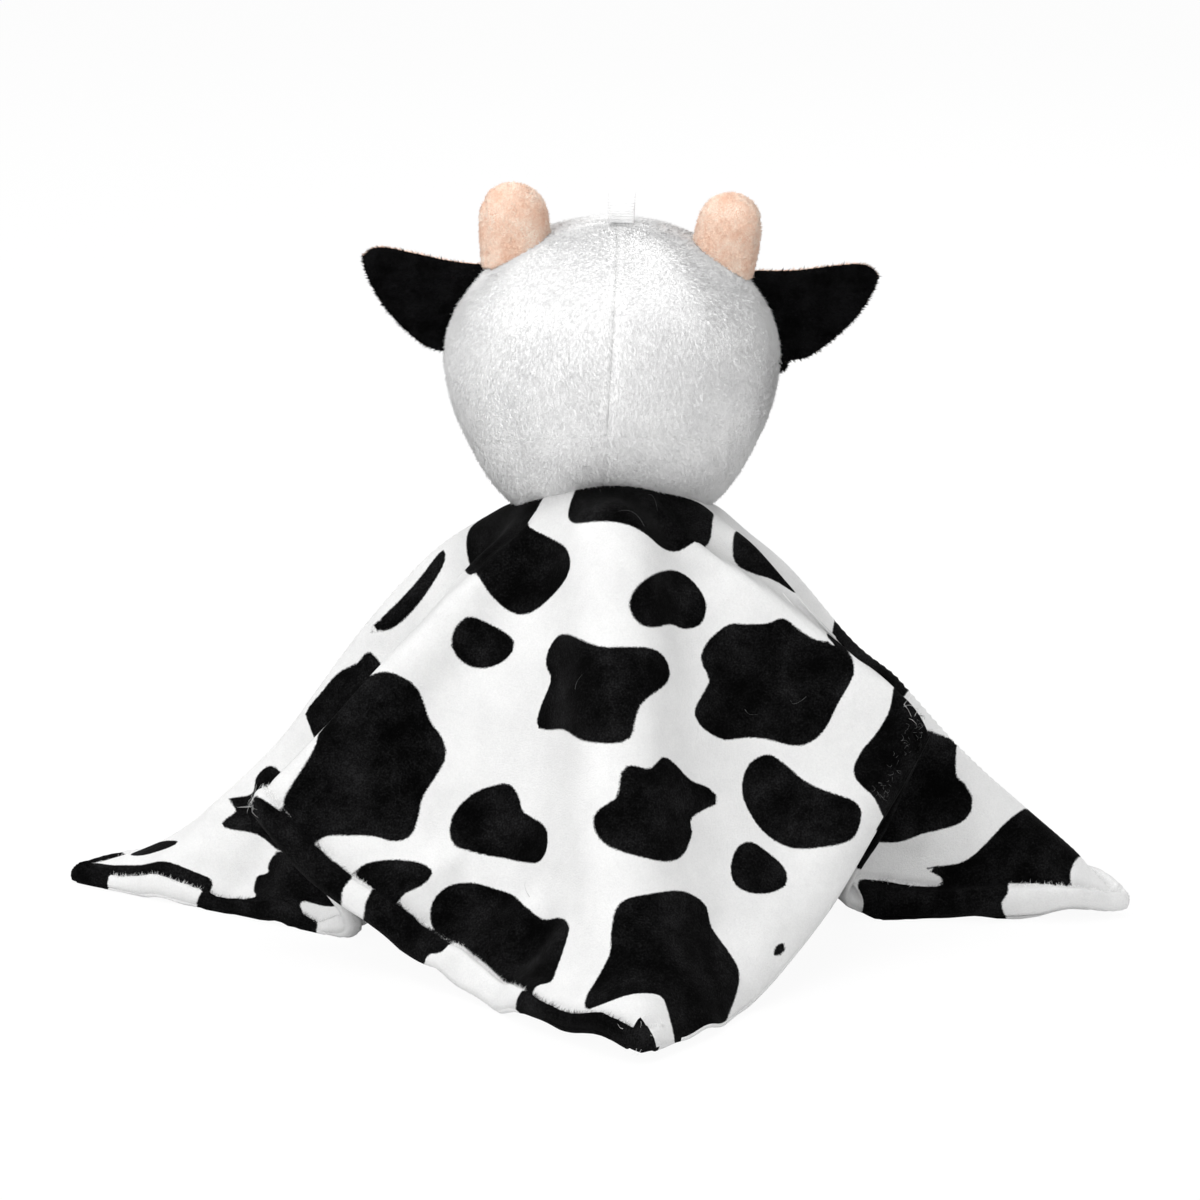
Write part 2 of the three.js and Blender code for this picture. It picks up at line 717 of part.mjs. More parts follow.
function addHead() {
  const seam = sideSeamPlane;
  const half = panelGap / 2;
  addPiece(lovey, 'neck_gather', neckGather(), colours.whitePlush);
  addPiece(lovey, 'neck_stuffing', neckSocket(0), colours.polyesterFill);
  addPiece(lovey, 'head_stuffing', headFilling(), colours.polyesterFill);
  addPiece(lovey, 'head_back_left', headPanel(-headSpan, -half, -headSpan, seam - half), colours.whitePlush);
  addPiece(lovey, 'head_back_right', headPanel(half, headSpan, -headSpan, seam - half), colours.whitePlush);
  addPiece(lovey, 'head_face', headPanel(-headSpan, headSpan, seam + half, headSpan), colours.whitePlush);
}

function addFace() {
  addPiece(lovey, 'eye_patch', eyePatch(), colours.blackPlush);
  addPiece(lovey, 'muzzle_cover', muzzleCover(), colours.peachMinky);
  addPiece(lovey, 'muzzle_stuffing', muzzleFilling(), colours.polyesterFill);
  [['left', -1], ['right', 1]].forEach(([name, side]) => {
    addPiece(lovey, `eye_${name}`, eye(side), colours.blackThread, 0.6);
    addPiece(lovey, `nostril_${name}`, nostril(side), colours.rosePink, 0.7);
  });
}

function addHorns() {
  Object.entries(horns).forEach(([name, horn]) => {
    const group = new THREE.Group();
    group.applyMatrix4(hornPlacement(horn));
    addPiece(group, `horn_${name}_cover`, hornCover(horn), colours.peachMinky);
    addPiece(group, `horn_${name}_stuffing`, hornFilling(horn), colours.polyesterFill);
    lovey.add(group);
  });
}

function addEars() {
  Object.entries(ears).forEach(([name, ear]) => {
    const group = new THREE.Group();
    group.applyMatrix4(earPlacement(ear));
    addPiece(group, `ear_${name}_back`, seatedEar(ear, horns[name], -1), colours.blackPlush);
    addPiece(group, `ear_${name}_front`, seatedEar(ear, horns[name], 1), colours.peachMinky);
    lovey.add(group);
  });
}

function addLoop() {
  const group = new THREE.Group();
  group.position.copy(crownPoint(loopOffset, sideSeamPlane));
  group.position.z += earGap;
  addPiece(group, 'hanging_loop', hangingLoop(), colours.whiteRibbon, 0.8);
  lovey.add(group);
}

addBlanket();
addHead();
addFace();
addHorns();
addEars();
addLoop();

// The origin is the middle of the lovey's box, at the level that it stands on.
const extent = new THREE.Box3().setFromObject(lovey);
const middle = extent.getCenter(new THREE.Vector3());
lovey.position.set(-middle.x, -middle.y, -extent.min.z);

export default lovey;
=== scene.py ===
# Comfort blanket lovey: plush cow's head on a draped cow-print minky blanket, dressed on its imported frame.
import math
import random
import bpy
import bmesh
import numpy as np
from mathutils import Matrix, Vector, kdtree, noise


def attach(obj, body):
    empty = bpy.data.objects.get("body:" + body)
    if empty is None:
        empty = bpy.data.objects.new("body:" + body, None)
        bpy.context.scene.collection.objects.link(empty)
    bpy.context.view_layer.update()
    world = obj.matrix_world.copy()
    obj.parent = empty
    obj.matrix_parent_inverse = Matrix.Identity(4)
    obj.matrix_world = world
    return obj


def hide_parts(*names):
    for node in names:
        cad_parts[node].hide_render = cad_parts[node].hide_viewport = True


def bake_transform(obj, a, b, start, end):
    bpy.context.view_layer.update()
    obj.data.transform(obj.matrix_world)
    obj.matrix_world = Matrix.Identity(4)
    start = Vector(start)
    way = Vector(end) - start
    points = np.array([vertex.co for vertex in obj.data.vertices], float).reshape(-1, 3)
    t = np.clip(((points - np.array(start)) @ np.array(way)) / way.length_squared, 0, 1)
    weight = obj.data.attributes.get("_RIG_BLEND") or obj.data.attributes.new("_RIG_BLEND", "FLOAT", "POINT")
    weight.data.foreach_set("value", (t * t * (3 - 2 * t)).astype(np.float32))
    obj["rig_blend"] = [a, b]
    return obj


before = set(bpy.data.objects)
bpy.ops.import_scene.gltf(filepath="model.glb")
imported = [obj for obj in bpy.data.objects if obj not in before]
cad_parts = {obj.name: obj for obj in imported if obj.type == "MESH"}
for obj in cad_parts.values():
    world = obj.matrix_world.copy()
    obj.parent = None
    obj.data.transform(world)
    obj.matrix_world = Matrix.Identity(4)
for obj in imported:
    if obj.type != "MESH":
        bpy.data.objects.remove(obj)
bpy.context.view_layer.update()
print("frame loaded")

mm = 0.001
middle = np.array((5.505, -3.099, 0.0))  # where the neck's middle stands in the frame, mm
up = np.array((0.0, 0.0, 1.0))

# Shared making

def newPiece(name, mesh):
    piece = bpy.data.objects.new(name, mesh)
    bpy.context.collection.objects.link(piece)
    return piece


# Camera
camera = {"aim": (2.1, -3.1, 88.0), "away": 1200.0, "rise": 15.0, "lens": 123.8}


def addCamera(values):
    aim = Vector(values["aim"]) * mm
    rise = math.radians(values["rise"])
    data = bpy.data.cameras.new("camera")
    data.lens = values["lens"]
    data.sensor_width = 36.0
    data.clip_start = 0.05
    data.clip_end = 20.0
    viewer = newPiece("camera", data)
    viewer.location = aim + Vector((0, -math.cos(rise), math.sin(rise))) * values["away"] * mm
    viewer.rotation_euler = (aim - viewer.location).to_track_quat("-Z", "Y").to_euler()
    bpy.context.scene.camera = viewer


addCamera(camera)


def fromBmesh(name, form, smooth=True):
    mesh = bpy.data.meshes.new(name)
    form.to_mesh(mesh)
    form.free()
    mesh.polygons.foreach_set("use_smooth", [smooth] * len(mesh.polygons))
    return newPiece(name, mesh)


def getPoints(mesh):
    points = np.empty(len(mesh.vertices) * 3)
    mesh.vertices.foreach_get("co", points)
    return points.reshape(-1, 3)


def setPoints(mesh, points):
    mesh.vertices.foreach_set("co", np.asarray(points, float).ravel())
    mesh.update()


def getNormals(mesh):
    normals = np.empty(len(mesh.vertices) * 3)
    mesh.vertices.foreach_get("normal", normals)
    return normals.reshape(-1, 3)


def addValue(mesh, name, values):
    mesh.attributes.new(name, "FLOAT", "POINT").data.foreach_set("value", np.asarray(values, np.float32))


def addVector(mesh, name, vectors):
    attribute = mesh.attributes.new(name, "FLOAT_VECTOR", "POINT")
    attribute.data.foreach_set("vector", np.asarray(vectors, np.float32).ravel())


def standAt(piece, points):
    # Points in mm about the neck's middle, put where they belong in the frame
    setPoints(piece.data, (points + middle) * mm)
    return piece


def applyModifiers(piece):
    view = bpy.context.evaluated_depsgraph_get()
    made = bpy.data.meshes.new_from_object(piece.evaluated_get(view), depsgraph=view)
    made.name = piece.name
    piece.modifiers.clear()
    piece.data = made
    return piece


def thicken(piece, thickness, offset=-1.0, applied=True):
    solid = piece.modifiers.new("thickness", "SOLIDIFY")
    solid.thickness = thickness * mm
    solid.offset = offset
    solid.use_even_offset = False
    return applyModifiers(piece) if applied else piece


def faceSide(piece, axis, side):
    # Turns a skin's faces to the wanted side of an axis
    if np.sum(getNormals(piece.data)[:, axis]) * side < 0:
        piece.data.flip_normals()


def finish(piece, material, slot, *nodes):
    piece.data.materials.clear()
    piece.data.materials.append(materials[material])
    if nodes:
        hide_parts(*nodes)
    return piece


def rideAll(pieces, body):
    for piece in pieces:
        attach(piece, body)


def lumps(points, size, seed):
    # Smooth noise from -1 to 1 at each point, with lumps of a size in mm
    shift = Vector((seed * 17.3, seed * -9.1, seed * 5.7))
    return np.array([noise.noise(Vector(p) / (size * mm) + shift) for p in points])


def hermite(a, leave, b, arrive, share):
    square, cube = share ** 2, share ** 3
    return (2 * cube - 3 * square + 1) * a + (cube - 2 * square + share) * leave \
        + (3 * square - 2 * cube) * b + (cube - square) * arrive


# Shader node groups

def feed(tree, socket, value):
    # Links an input to a socket, or gives it a value
    if isinstance(value, bpy.types.NodeSocket):
        tree.links.new(value, socket)
    else:
        socket.default_value = value


def addNode(tree, kind, *inputs, **values):
    # A node with its first inputs in order, and its settings and other inputs by name
    node = tree.nodes.new(kind)
    for name, value in values.items():
        if hasattr(node, name):
            setattr(node, name, value)
        else:
            feed(tree, node.inputs[name.replace("_", " ")], value)
    for socket, value in zip(node.inputs, inputs):
        feed(tree, socket, value)
    return node


def addMath(tree, operation, *inputs):
    return addNode(tree, "ShaderNodeMath", *inputs, operation=operation).outputs[0]


def addRange(tree, value, low, high, **values):
    spread = addNode(tree, "ShaderNodeMapRange", Value=value, From_Min=low, From_Max=high, **values)
    return spread.outputs["Result"]


def readAttribute(tree, name, output="Fac"):
    return addNode(tree, "ShaderNodeAttribute", attribute_name=name).outputs[output]


def buildPileGroup():
    # Short pile: fine fibres over soft brushed patches
    tree = bpy.data.node_groups.new("pile", "ShaderNodeTree")
    place = addNode(tree, "ShaderNodeTexCoord").outputs["Object"]
    textures = (("Fibre", 1500.0, "Fibres", 4.0, 0.7), ("Brush", 90.0, "Brushed", 5.0, 0.65))
    for scale, usual, _, _, _ in textures:
        tree.interface.new_socket(scale, in_out="INPUT", socket_type="NodeSocketFloat").default_value = usual
    for _, _, label, _, _ in textures:
        tree.interface.new_socket(label, in_out="OUTPUT", socket_type="NodeSocketFloat")
    given, result = addNode(tree, "NodeGroupInput"), addNode(tree, "NodeGroupOutput")
    for scale, _, label, detail, roughness in textures:
        texture = addNode(tree, "ShaderNodeTexNoise", Vector=place, Scale=given.outputs[scale], Detail=detail,
                          Roughness=roughness)
        feed(tree, result.inputs[label], texture.outputs["Fac"])
    return tree


pileGroup = buildPileGroup()


def addPile(tree, fibre, brush):
    return addNode(tree, "ShaderNodeGroup", node_tree=pileGroup, Fibre=fibre, Brush=brush).outputs


def newMaterial(name, roughness=0.9, sheen=0.2, sheenRoughness=0.4, specular=0.05):
    material = bpy.data.materials.new(name)
    material.use_nodes = True
    tree = material.node_tree
    shader = tree.nodes["Principled BSDF"]
    for label, value in (("Roughness", roughness), ("Sheen Weight", sheen),
                         ("Sheen Roughness", sheenRoughness), ("Specular IOR Level", specular)):
        shader.inputs[label].default_value = value
    return material, tree, shader


def mixColours(tree, mask, low, high):
    mix = addNode(tree, "ShaderNodeMix", data_type="RGBA", Factor=mask)
    for socket, colour in zip(mix.inputs[6:8], (low, high)):
        feed(tree, socket, (*colour, 1.0) if isinstance(colour, tuple) else colour)
    return mix.outputs[2]


def addBump(tree, shader, height, distance):
    bump = addNode(tree, "ShaderNodeBump", Strength=1.0, Distance=distance * mm, Height=height)
    feed(tree, shader.inputs["Normal"], bump.outputs["Normal"])


def showShader(tree, share, under, over):
    # The material shows the share of over, and under elsewhere
    both = addNode(tree, "ShaderNodeMixShader", share, under.outputs[0], over.outputs[0])
    feed(tree, tree.nodes["Material Output"].inputs["Surface"], both.outputs[0])


def shadeBySkin(tree, shader, share):
    # Tufts take their shading from the skin that they stand on
    turned = addNode(tree, "ShaderNodeVectorTransform", readAttribute(tree, "skin", "Vector"),
                     vector_type="NORMAL", convert_from="OBJECT", convert_to="WORLD").outputs["Vector"]
    own = addNode(tree, "ShaderNodeNewGeometry").outputs["Normal"]
    mix = addNode(tree, "ShaderNodeMix", data_type="VECTOR", Factor=share)
    for socket, normal in zip(mix.inputs[4:6], (own, turned)):
        feed(tree, socket, normal)
    feed(tree, shader.inputs["Normal"], mix.outputs[1])


def letLightThrough(tree, shader, share):
    # Fine fibres cast a soft, thin shadow
    path = addNode(tree, "ShaderNodeLightPath").outputs
    either = addMath(tree, "MAXIMUM", path["Is Shadow Ray"], path["Is Diffuse Ray"])
    clear = addNode(tree, "ShaderNodeBsdfTransparent")
    showShader(tree, addMath(tree, "MULTIPLY", either, share), shader, clear)


# What the fibres count beside the brushing, the range from dark to light, the light that tufts let through.
pileLook = {"fibres": 0.6, "from": 0.64, "to": 0.96, "through": 0.92}


def pileMaterial(name, dark, light, fibre=1500.0, brush=90.0, depth=0.5, tufted=0.0, **shaderValues):
    # One colour of pile cloth, from dark to light with the brushing
    material, tree, shader = newMaterial(name, **shaderValues)
    pile = addPile(tree, fibre, brush)
    both = addMath(tree, "MULTIPLY_ADD", pile["Fibres"], pileLook["fibres"], pile["Brushed"])
    spread = addRange(tree, both, pileLook["from"], pileLook["to"])
    feed(tree, shader.inputs["Base Color"], mixColours(tree, spread, dark, light))
    if tufted:
        shadeBySkin(tree, shader, tufted)
        letLightThrough(tree, shader, pileLook["through"])
    else:
        addBump(tree, shader, pile["Fibres"], depth)
    return material


# The print: white and black each go from a first to a second colour with the brushing, and the shade painted
# beyond the overlap lines goes towards its own colour.
cowPrint = {
    "white": ((0.63, 0.63, 0.63), (0.72, 0.72, 0.717)),
    "black": ((0.0003, 0.0003, 0.0003), (0.0135, 0.0135, 0.014)),
    "fibre": 1900.0, "brush": 70.0, "brushed": (0.38, 0.62), "strokes": 2.3, "bump": 0.5,
    "folded": (0.0, 0.0, 0.0), "fuzzScale": 2600.0, "fuzz": 1.3, "edge": (0.4, 0.9), "looseFuzz": 0.7,
}


def printMaterial(name):
    # White minky with black spots: the spot attribute is the distance into a spot, in mm
    material, tree, shader = newMaterial(name, roughness=0.95, sheen=0.012, sheenRoughness=0.35,
                                         specular=0.03)
    place = addNode(tree, "ShaderNodeTexCoord").outputs["Object"]
    fuzz = addNode(tree, "ShaderNodeTexNoise", Vector=place, Scale=cowPrint["fuzzScale"], Detail=3.0,
                   Roughness=0.7)
    edge = addMath(tree, "MULTIPLY_ADD", fuzz.outputs["Fac"], cowPrint["fuzz"], readAttribute(tree, "spot"))
    mask = addRange(tree, edge, *cowPrint["edge"], interpolation_type="SMOOTHSTEP")
    pile = addPile(tree, cowPrint["fibre"], cowPrint["brush"])
    both = addMath(tree, "MULTIPLY_ADD", pile["Fibres"], 0.5, addMath(tree, "MULTIPLY", pile["Brushed"], 0.5))
    brushed = addRange(tree, both, *cowPrint["brushed"])
    white = mixColours(tree, brushed, *cowPrint["white"])
    black = mixColours(tree, addMath(tree, "POWER", brushed, cowPrint["strokes"]), *cowPrint["black"])
    printed = mixColours(tree, mask, white, black)
    # Painted shade: the print darkens towards black beyond the overlap lines, where the layer behind lies in
    # shadow
    shaded = mixColours(tree, readAttribute(tree, "shade"), printed, cowPrint["folded"])
    feed(tree, shader.inputs["Base Color"], shaded)
    addBump(tree, shader, both, cowPrint["bump"])
    return material


def fuzzMaterial(name, white, black):
    # Loose fibres in the colour of the print that they stand on
    material, tree, shader = newMaterial(name, sheen=0.02)
    inSpot = addMath(tree, "GREATER_THAN", readAttribute(tree, "spot"), 0.0)
    feed(tree, shader.inputs["Base Color"], mixColours(tree, inSpot, white, black))
    shadeBySkin(tree, shader, cowPrint["looseFuzz"])
    letLightThrough(tree, shader, cowPrint["looseFuzz"])
    return material


materials = {
    "printFuzz": fuzzMaterial("minky fuzz", (0.93, 0.93, 0.925), (0.004, 0.004, 0.0045)),
    "topPrint": printMaterial("cow print minky"),
    "liningPrint": printMaterial("lining minky"),
    "whitePlush": pileMaterial("white plush", (0.92, 0.92, 0.92), (0.98, 0.98, 0.978), 1100.0, 60.0, 0.4),
    "whitePile": pileMaterial("white pile", (0.85, 0.85, 0.85), (0.995, 0.995, 0.99), 1300.0, 60.0,
                              tufted=0.91, sheen=0.45, sheenRoughness=0.5),
    "blackPlush": pileMaterial("black plush", (0.0004, 0.0004, 0.0004), (0.003, 0.003, 0.003), 1500.0, 80.0,
                               0.5, sheen=0.0),
    "peachMinky": pileMaterial("peach minky", (0.8, 0.47, 0.33), (0.96, 0.72, 0.57), 1500.0, 120.0, 0.6),
    "peachPile": pileMaterial("peach pile", (0.8, 0.48, 0.34), (0.99, 0.82, 0.69), 900.0, 160.0, tufted=0.6),
    "blackPile": pileMaterial("black pile", (0.0003, 0.0003, 0.0003), (0.0055, 0.0055, 0.006), 800.0, 160.0,
                              tufted=0.4, sheen=0.004),
    "fibreFill": pileMaterial("polyester fill", (0.8, 0.8, 0.79), (0.95, 0.95, 0.94), 700.0, 50.0, 1.0),
    "blackThread": pileMaterial("black thread", (0.004, 0.004, 0.005), (0.02, 0.02, 0.022), 3000.0, 300.0,
                                0.2, roughness=0.45, sheen=0.1),
    "roseThread": pileMaterial("rose thread", (0.42, 0.12, 0.13), (0.55, 0.19, 0.2), 3000.0, 300.0, 0.2,
                               roughness=0.5, sheen=0.1),
    "whiteThread": pileMaterial("white thread", (0.75, 0.75, 0.74), (0.9, 0.9, 0.89), 3000.0, 300.0, 0.2,
                                roughness=0.6, sheen=0.1),
    "greyThread": pileMaterial("loose grey fibre", (0.05, 0.05, 0.05), (0.16, 0.16, 0.16), 3000.0, 300.0, 0.2,
                               roughness=0.7, sheen=0.1),
    "ribbon": pileMaterial("grosgrain ribbon", (0.86, 0.86, 0.86), (0.95, 0.95, 0.95), 2500.0, 200.0, 0.1,
                           roughness=0.6, sheen=0.1),
}
print("materials made")

# Blanket. Each line of the drape: flat direction, bearing, reach as a share of half the side, rise as a
# share of the neck's height, fall at the neck, fall at the hem. They are the frame's own.
blanket = {
    "half": 150.0, "patch": 29.0, "neckHeight": 120.0, "neckTilt": 15.0, "hemRest": 3.4,
    "segments": 176, "softening": 4, "edgeCrowding": 0.13, "cornerRadius": 6.0,
    "layer": 2.0, "stitchInset": 6.6, "stitchWidth": 1.5, "stitchHeight": 1.1,
    "rollTop": 4.0, "rollUnder": 3.2, "seamLift": -1.7, "pucker": 0.5, "puckerLength": 3.4,
    "seamLeft": ((-150, 2.2), (-112, 2.4), (-96, 6), (-76, 8.2), (-2, 8), (30, 6.6), (64, 3.6), (140, 3.4),
                 (150, 4.5)),
    "seamNear": ((-150, 3), (-30, 5), (20, 6.6), (62, 16), (80, 16.3), (94, 13.4), (109, 11), (124, 6.4),
                 (136, 4.4), (150, 4.5)),
    "tuck": ((-146, 0), (-132, 1), (3, 1), (14, 0)), "tuckReach": 12.0, "tuckDepth": 5.0,
    "wander": 1.3, "wanderLength": 21.0,
    "layerThickness": 1.0, "floorGap": 0.15, "hemGap": 1.2, "hemStrip": 40.0,
    "lipWidth": 3.4, "plainEdge": 8.0, "rollFlat": 1.25, "rollEnd": 0.7,
    "thickFrom": 100.0, "thickOver": 30.0, "thicker": 0.5,
    "slackLeft": 0.8, "slackRight": 0.45, "slackOver": 30.0,
    "waves": ((30.0, 3.0, 1.0), (11.0, 5.0, 0.4)), "waveEdge": 30.0, "waveLeast": 0.3, "freeOver": 16.0,
    "restDepth": 3.4, "restAway": 34.0, "restWidth": 17.0, "restHem": 6.0,
    "tipLeft": 0.6, "tipRight": 2.4, "tipAway": 14.0, "tipWidth": 11.0,
    "lines": (
        (0, 350, 1.03, 0, 45, 26), (9, 1.5, 0.78, 0.01, 42, 9), (19, 22, 0.54, 0, 50, 28),
        (32, 35, 0.68, 0.16, 42, 40), (45, 44, 0.75, 0.27, 34, 42), (58, 55, 0.67, 0.16, 42, 40),
        (70, 68, 0.56, 0, 50, 28), (80, 81, 0.77, 0, 45, 2), (90, 90, 1.01, 0, 38, 0),
        (100, 99, 0.77, 0, 45, 2), (110, 112, 0.56, 0, 50, 28), (122, 125, 0.67, 0.16, 42, 40),
        (135, 136, 0.75, 0.27, 34, 42), (148, 145, 0.7, 0.16, 42, 40), (161, 155, 0.57, 0, 50, 28),
        (170, 170, 0.83, 0, 40, 2), (180, 178, 1.09, 0, 32, 0), (193, 191, 0.79, 0, 44, 2),
        (206, 211, 0.6, 0, 52, 20), (215, 210, 0.67, 0.16, 42, 38), (225, 209, 0.78, 0.33, 22, 44),
        (233, 218, 0.74, 0.21, 26, 42), (244, 232.5, 0.665, 0.07, 31, 34), (254, 247.5, 0.7, 0.01, 27, 16),
        (270, 273, 0.97, 0, 20, 0), (284, 293.5, 0.74, 0.055, 22, 34), (295, 308.5, 0.68, 0.195, 22, 43),
        (305, 321, 0.67, 0.355, 20, 44), (315, 330, 0.7, 0.52, 14, 36), (327, 332, 0.6, 0.25, 32, 40),
        (341, 337, 0.53, 0, 47, 30), (350, 344.5, 0.775, 0.005, 42, 10)),
}


def heading(degrees, length=1.0):
    turn = math.radians(degrees)
    return np.array((math.cos(turn), math.sin(turn), 0.0)) * length


def drapeLine(line, distance, values):
    # Places of one line of the drape at distances on the flat cloth
    flat, bearing, reach, rise, fallAtNeck, fallAtHem = line
    start = heading(flat, values["patch"])
    start[2] = values["neckHeight"] - start[1] * math.tan(math.radians(values["neckTilt"]))
    end = heading(bearing, reach * values["half"])
    end[2] = values["hemRest"] + rise * values["neckHeight"]
    away = (end - start) * (1, 1, 0)
    away /= np.linalg.norm(away)
    leave = heading(flat, math.cos(math.radians(fallAtNeck))) - up * math.sin(math.radians(fallAtNeck))
    arrive = away * math.cos(math.radians(fallAtHem)) - up * math.sin(math.radians(fallAtHem))
    hem = values["half"] / math.cos(math.radians(flat % 90 - 45))
    length = hem - values["patch"]
    share = ((distance - values["patch"]) / length)[:, None]
    inside = hermite(start, leave * length, end, arrive * length, share)
    past = end + arrive * (share - 1) * length
    past[:, 2] = np.maximum(past[:, 2], values["hemRest"])
    return np.where(share > 1, past, inside)


def drape(flatX, flatY, values):
    # The hanging cloth's middle surface over points of the flat cloth
    distance = np.hypot(flatX, flatY)
    turn = np.degrees(np.arctan2(flatY, flatX)) % 360
    lines = values["lines"]
    count = len(lines)
    places = np.array([drapeLine(line, distance, values) for line in lines])
    angles = np.array([line[0] for line in lines], float)
    here = np.searchsorted(angles, turn, side="right") - 1
    each = np.arange(len(distance))
    around = []
    for line in (here + step for step in (-1, 0, 1, 2)):
        around.append((places[line % count, each], angles[line % count] + np.floor(line / count) * 360))

    def slope(before, at, after):
        first = (at[0] - before[0]) / (at[1] - before[1])[:, None]
        second = (after[0] - at[0]) / (after[1] - at[1])[:, None]
        weight = ((at[1] - before[1]) / (after[1] - before[1]))[:, None]
        return first + (second - first) * weight

    gap = (around[2][1] - around[1][1])[:, None]
    share = (turn[:, None] - around[1][1][:, None]) / gap
    hung = hermite(around[1][0], slope(*around[:3]) * gap, around[2][0], slope(*around[1:]) * gap, share)
    tilt = math.tan(math.radians(values["neckTilt"]))
    patch = np.stack([flatX, flatY, values["neckHeight"] - flatY * tilt], 1)
    return np.where((distance < values["patch"])[:, None], patch, hung)


# The cloth and the cover meet in an arch under the head: low at its sides, high at the middle of its back.
arch = {"sides": -4.7, "back": 1.9, "front": -2.0, "narrow": 3.5, "clothReach": 34.0, "headReach": 20.0}


def easeOut(share):
    share = np.clip(share, 0, 1)
    return 1 - share * share * (3 - 2 * share)


def settle(points, weight):
    away = np.maximum(np.hypot(points[:, 0], points[:, 1]), 1e-6)
    toBack = -points[:, 1] / away
    lift = arch["sides"] + (arch["back"] - arch["sides"]) * np.clip(toBack, 0, 1) ** arch["narrow"]
    lift += (arch["front"] - arch["sides"]) * np.clip(-toBack, 0, 1)
    settled = points.copy()
    settled[:, 2] += lift * weight
    return settled


def settleCloth(points, flatAway):
    inside = np.clip(flatAway / blanket["patch"], 0, 1)
    return settle(points, inside * easeOut((flatAway - blanket["patch"]) / arch["clothReach"]))


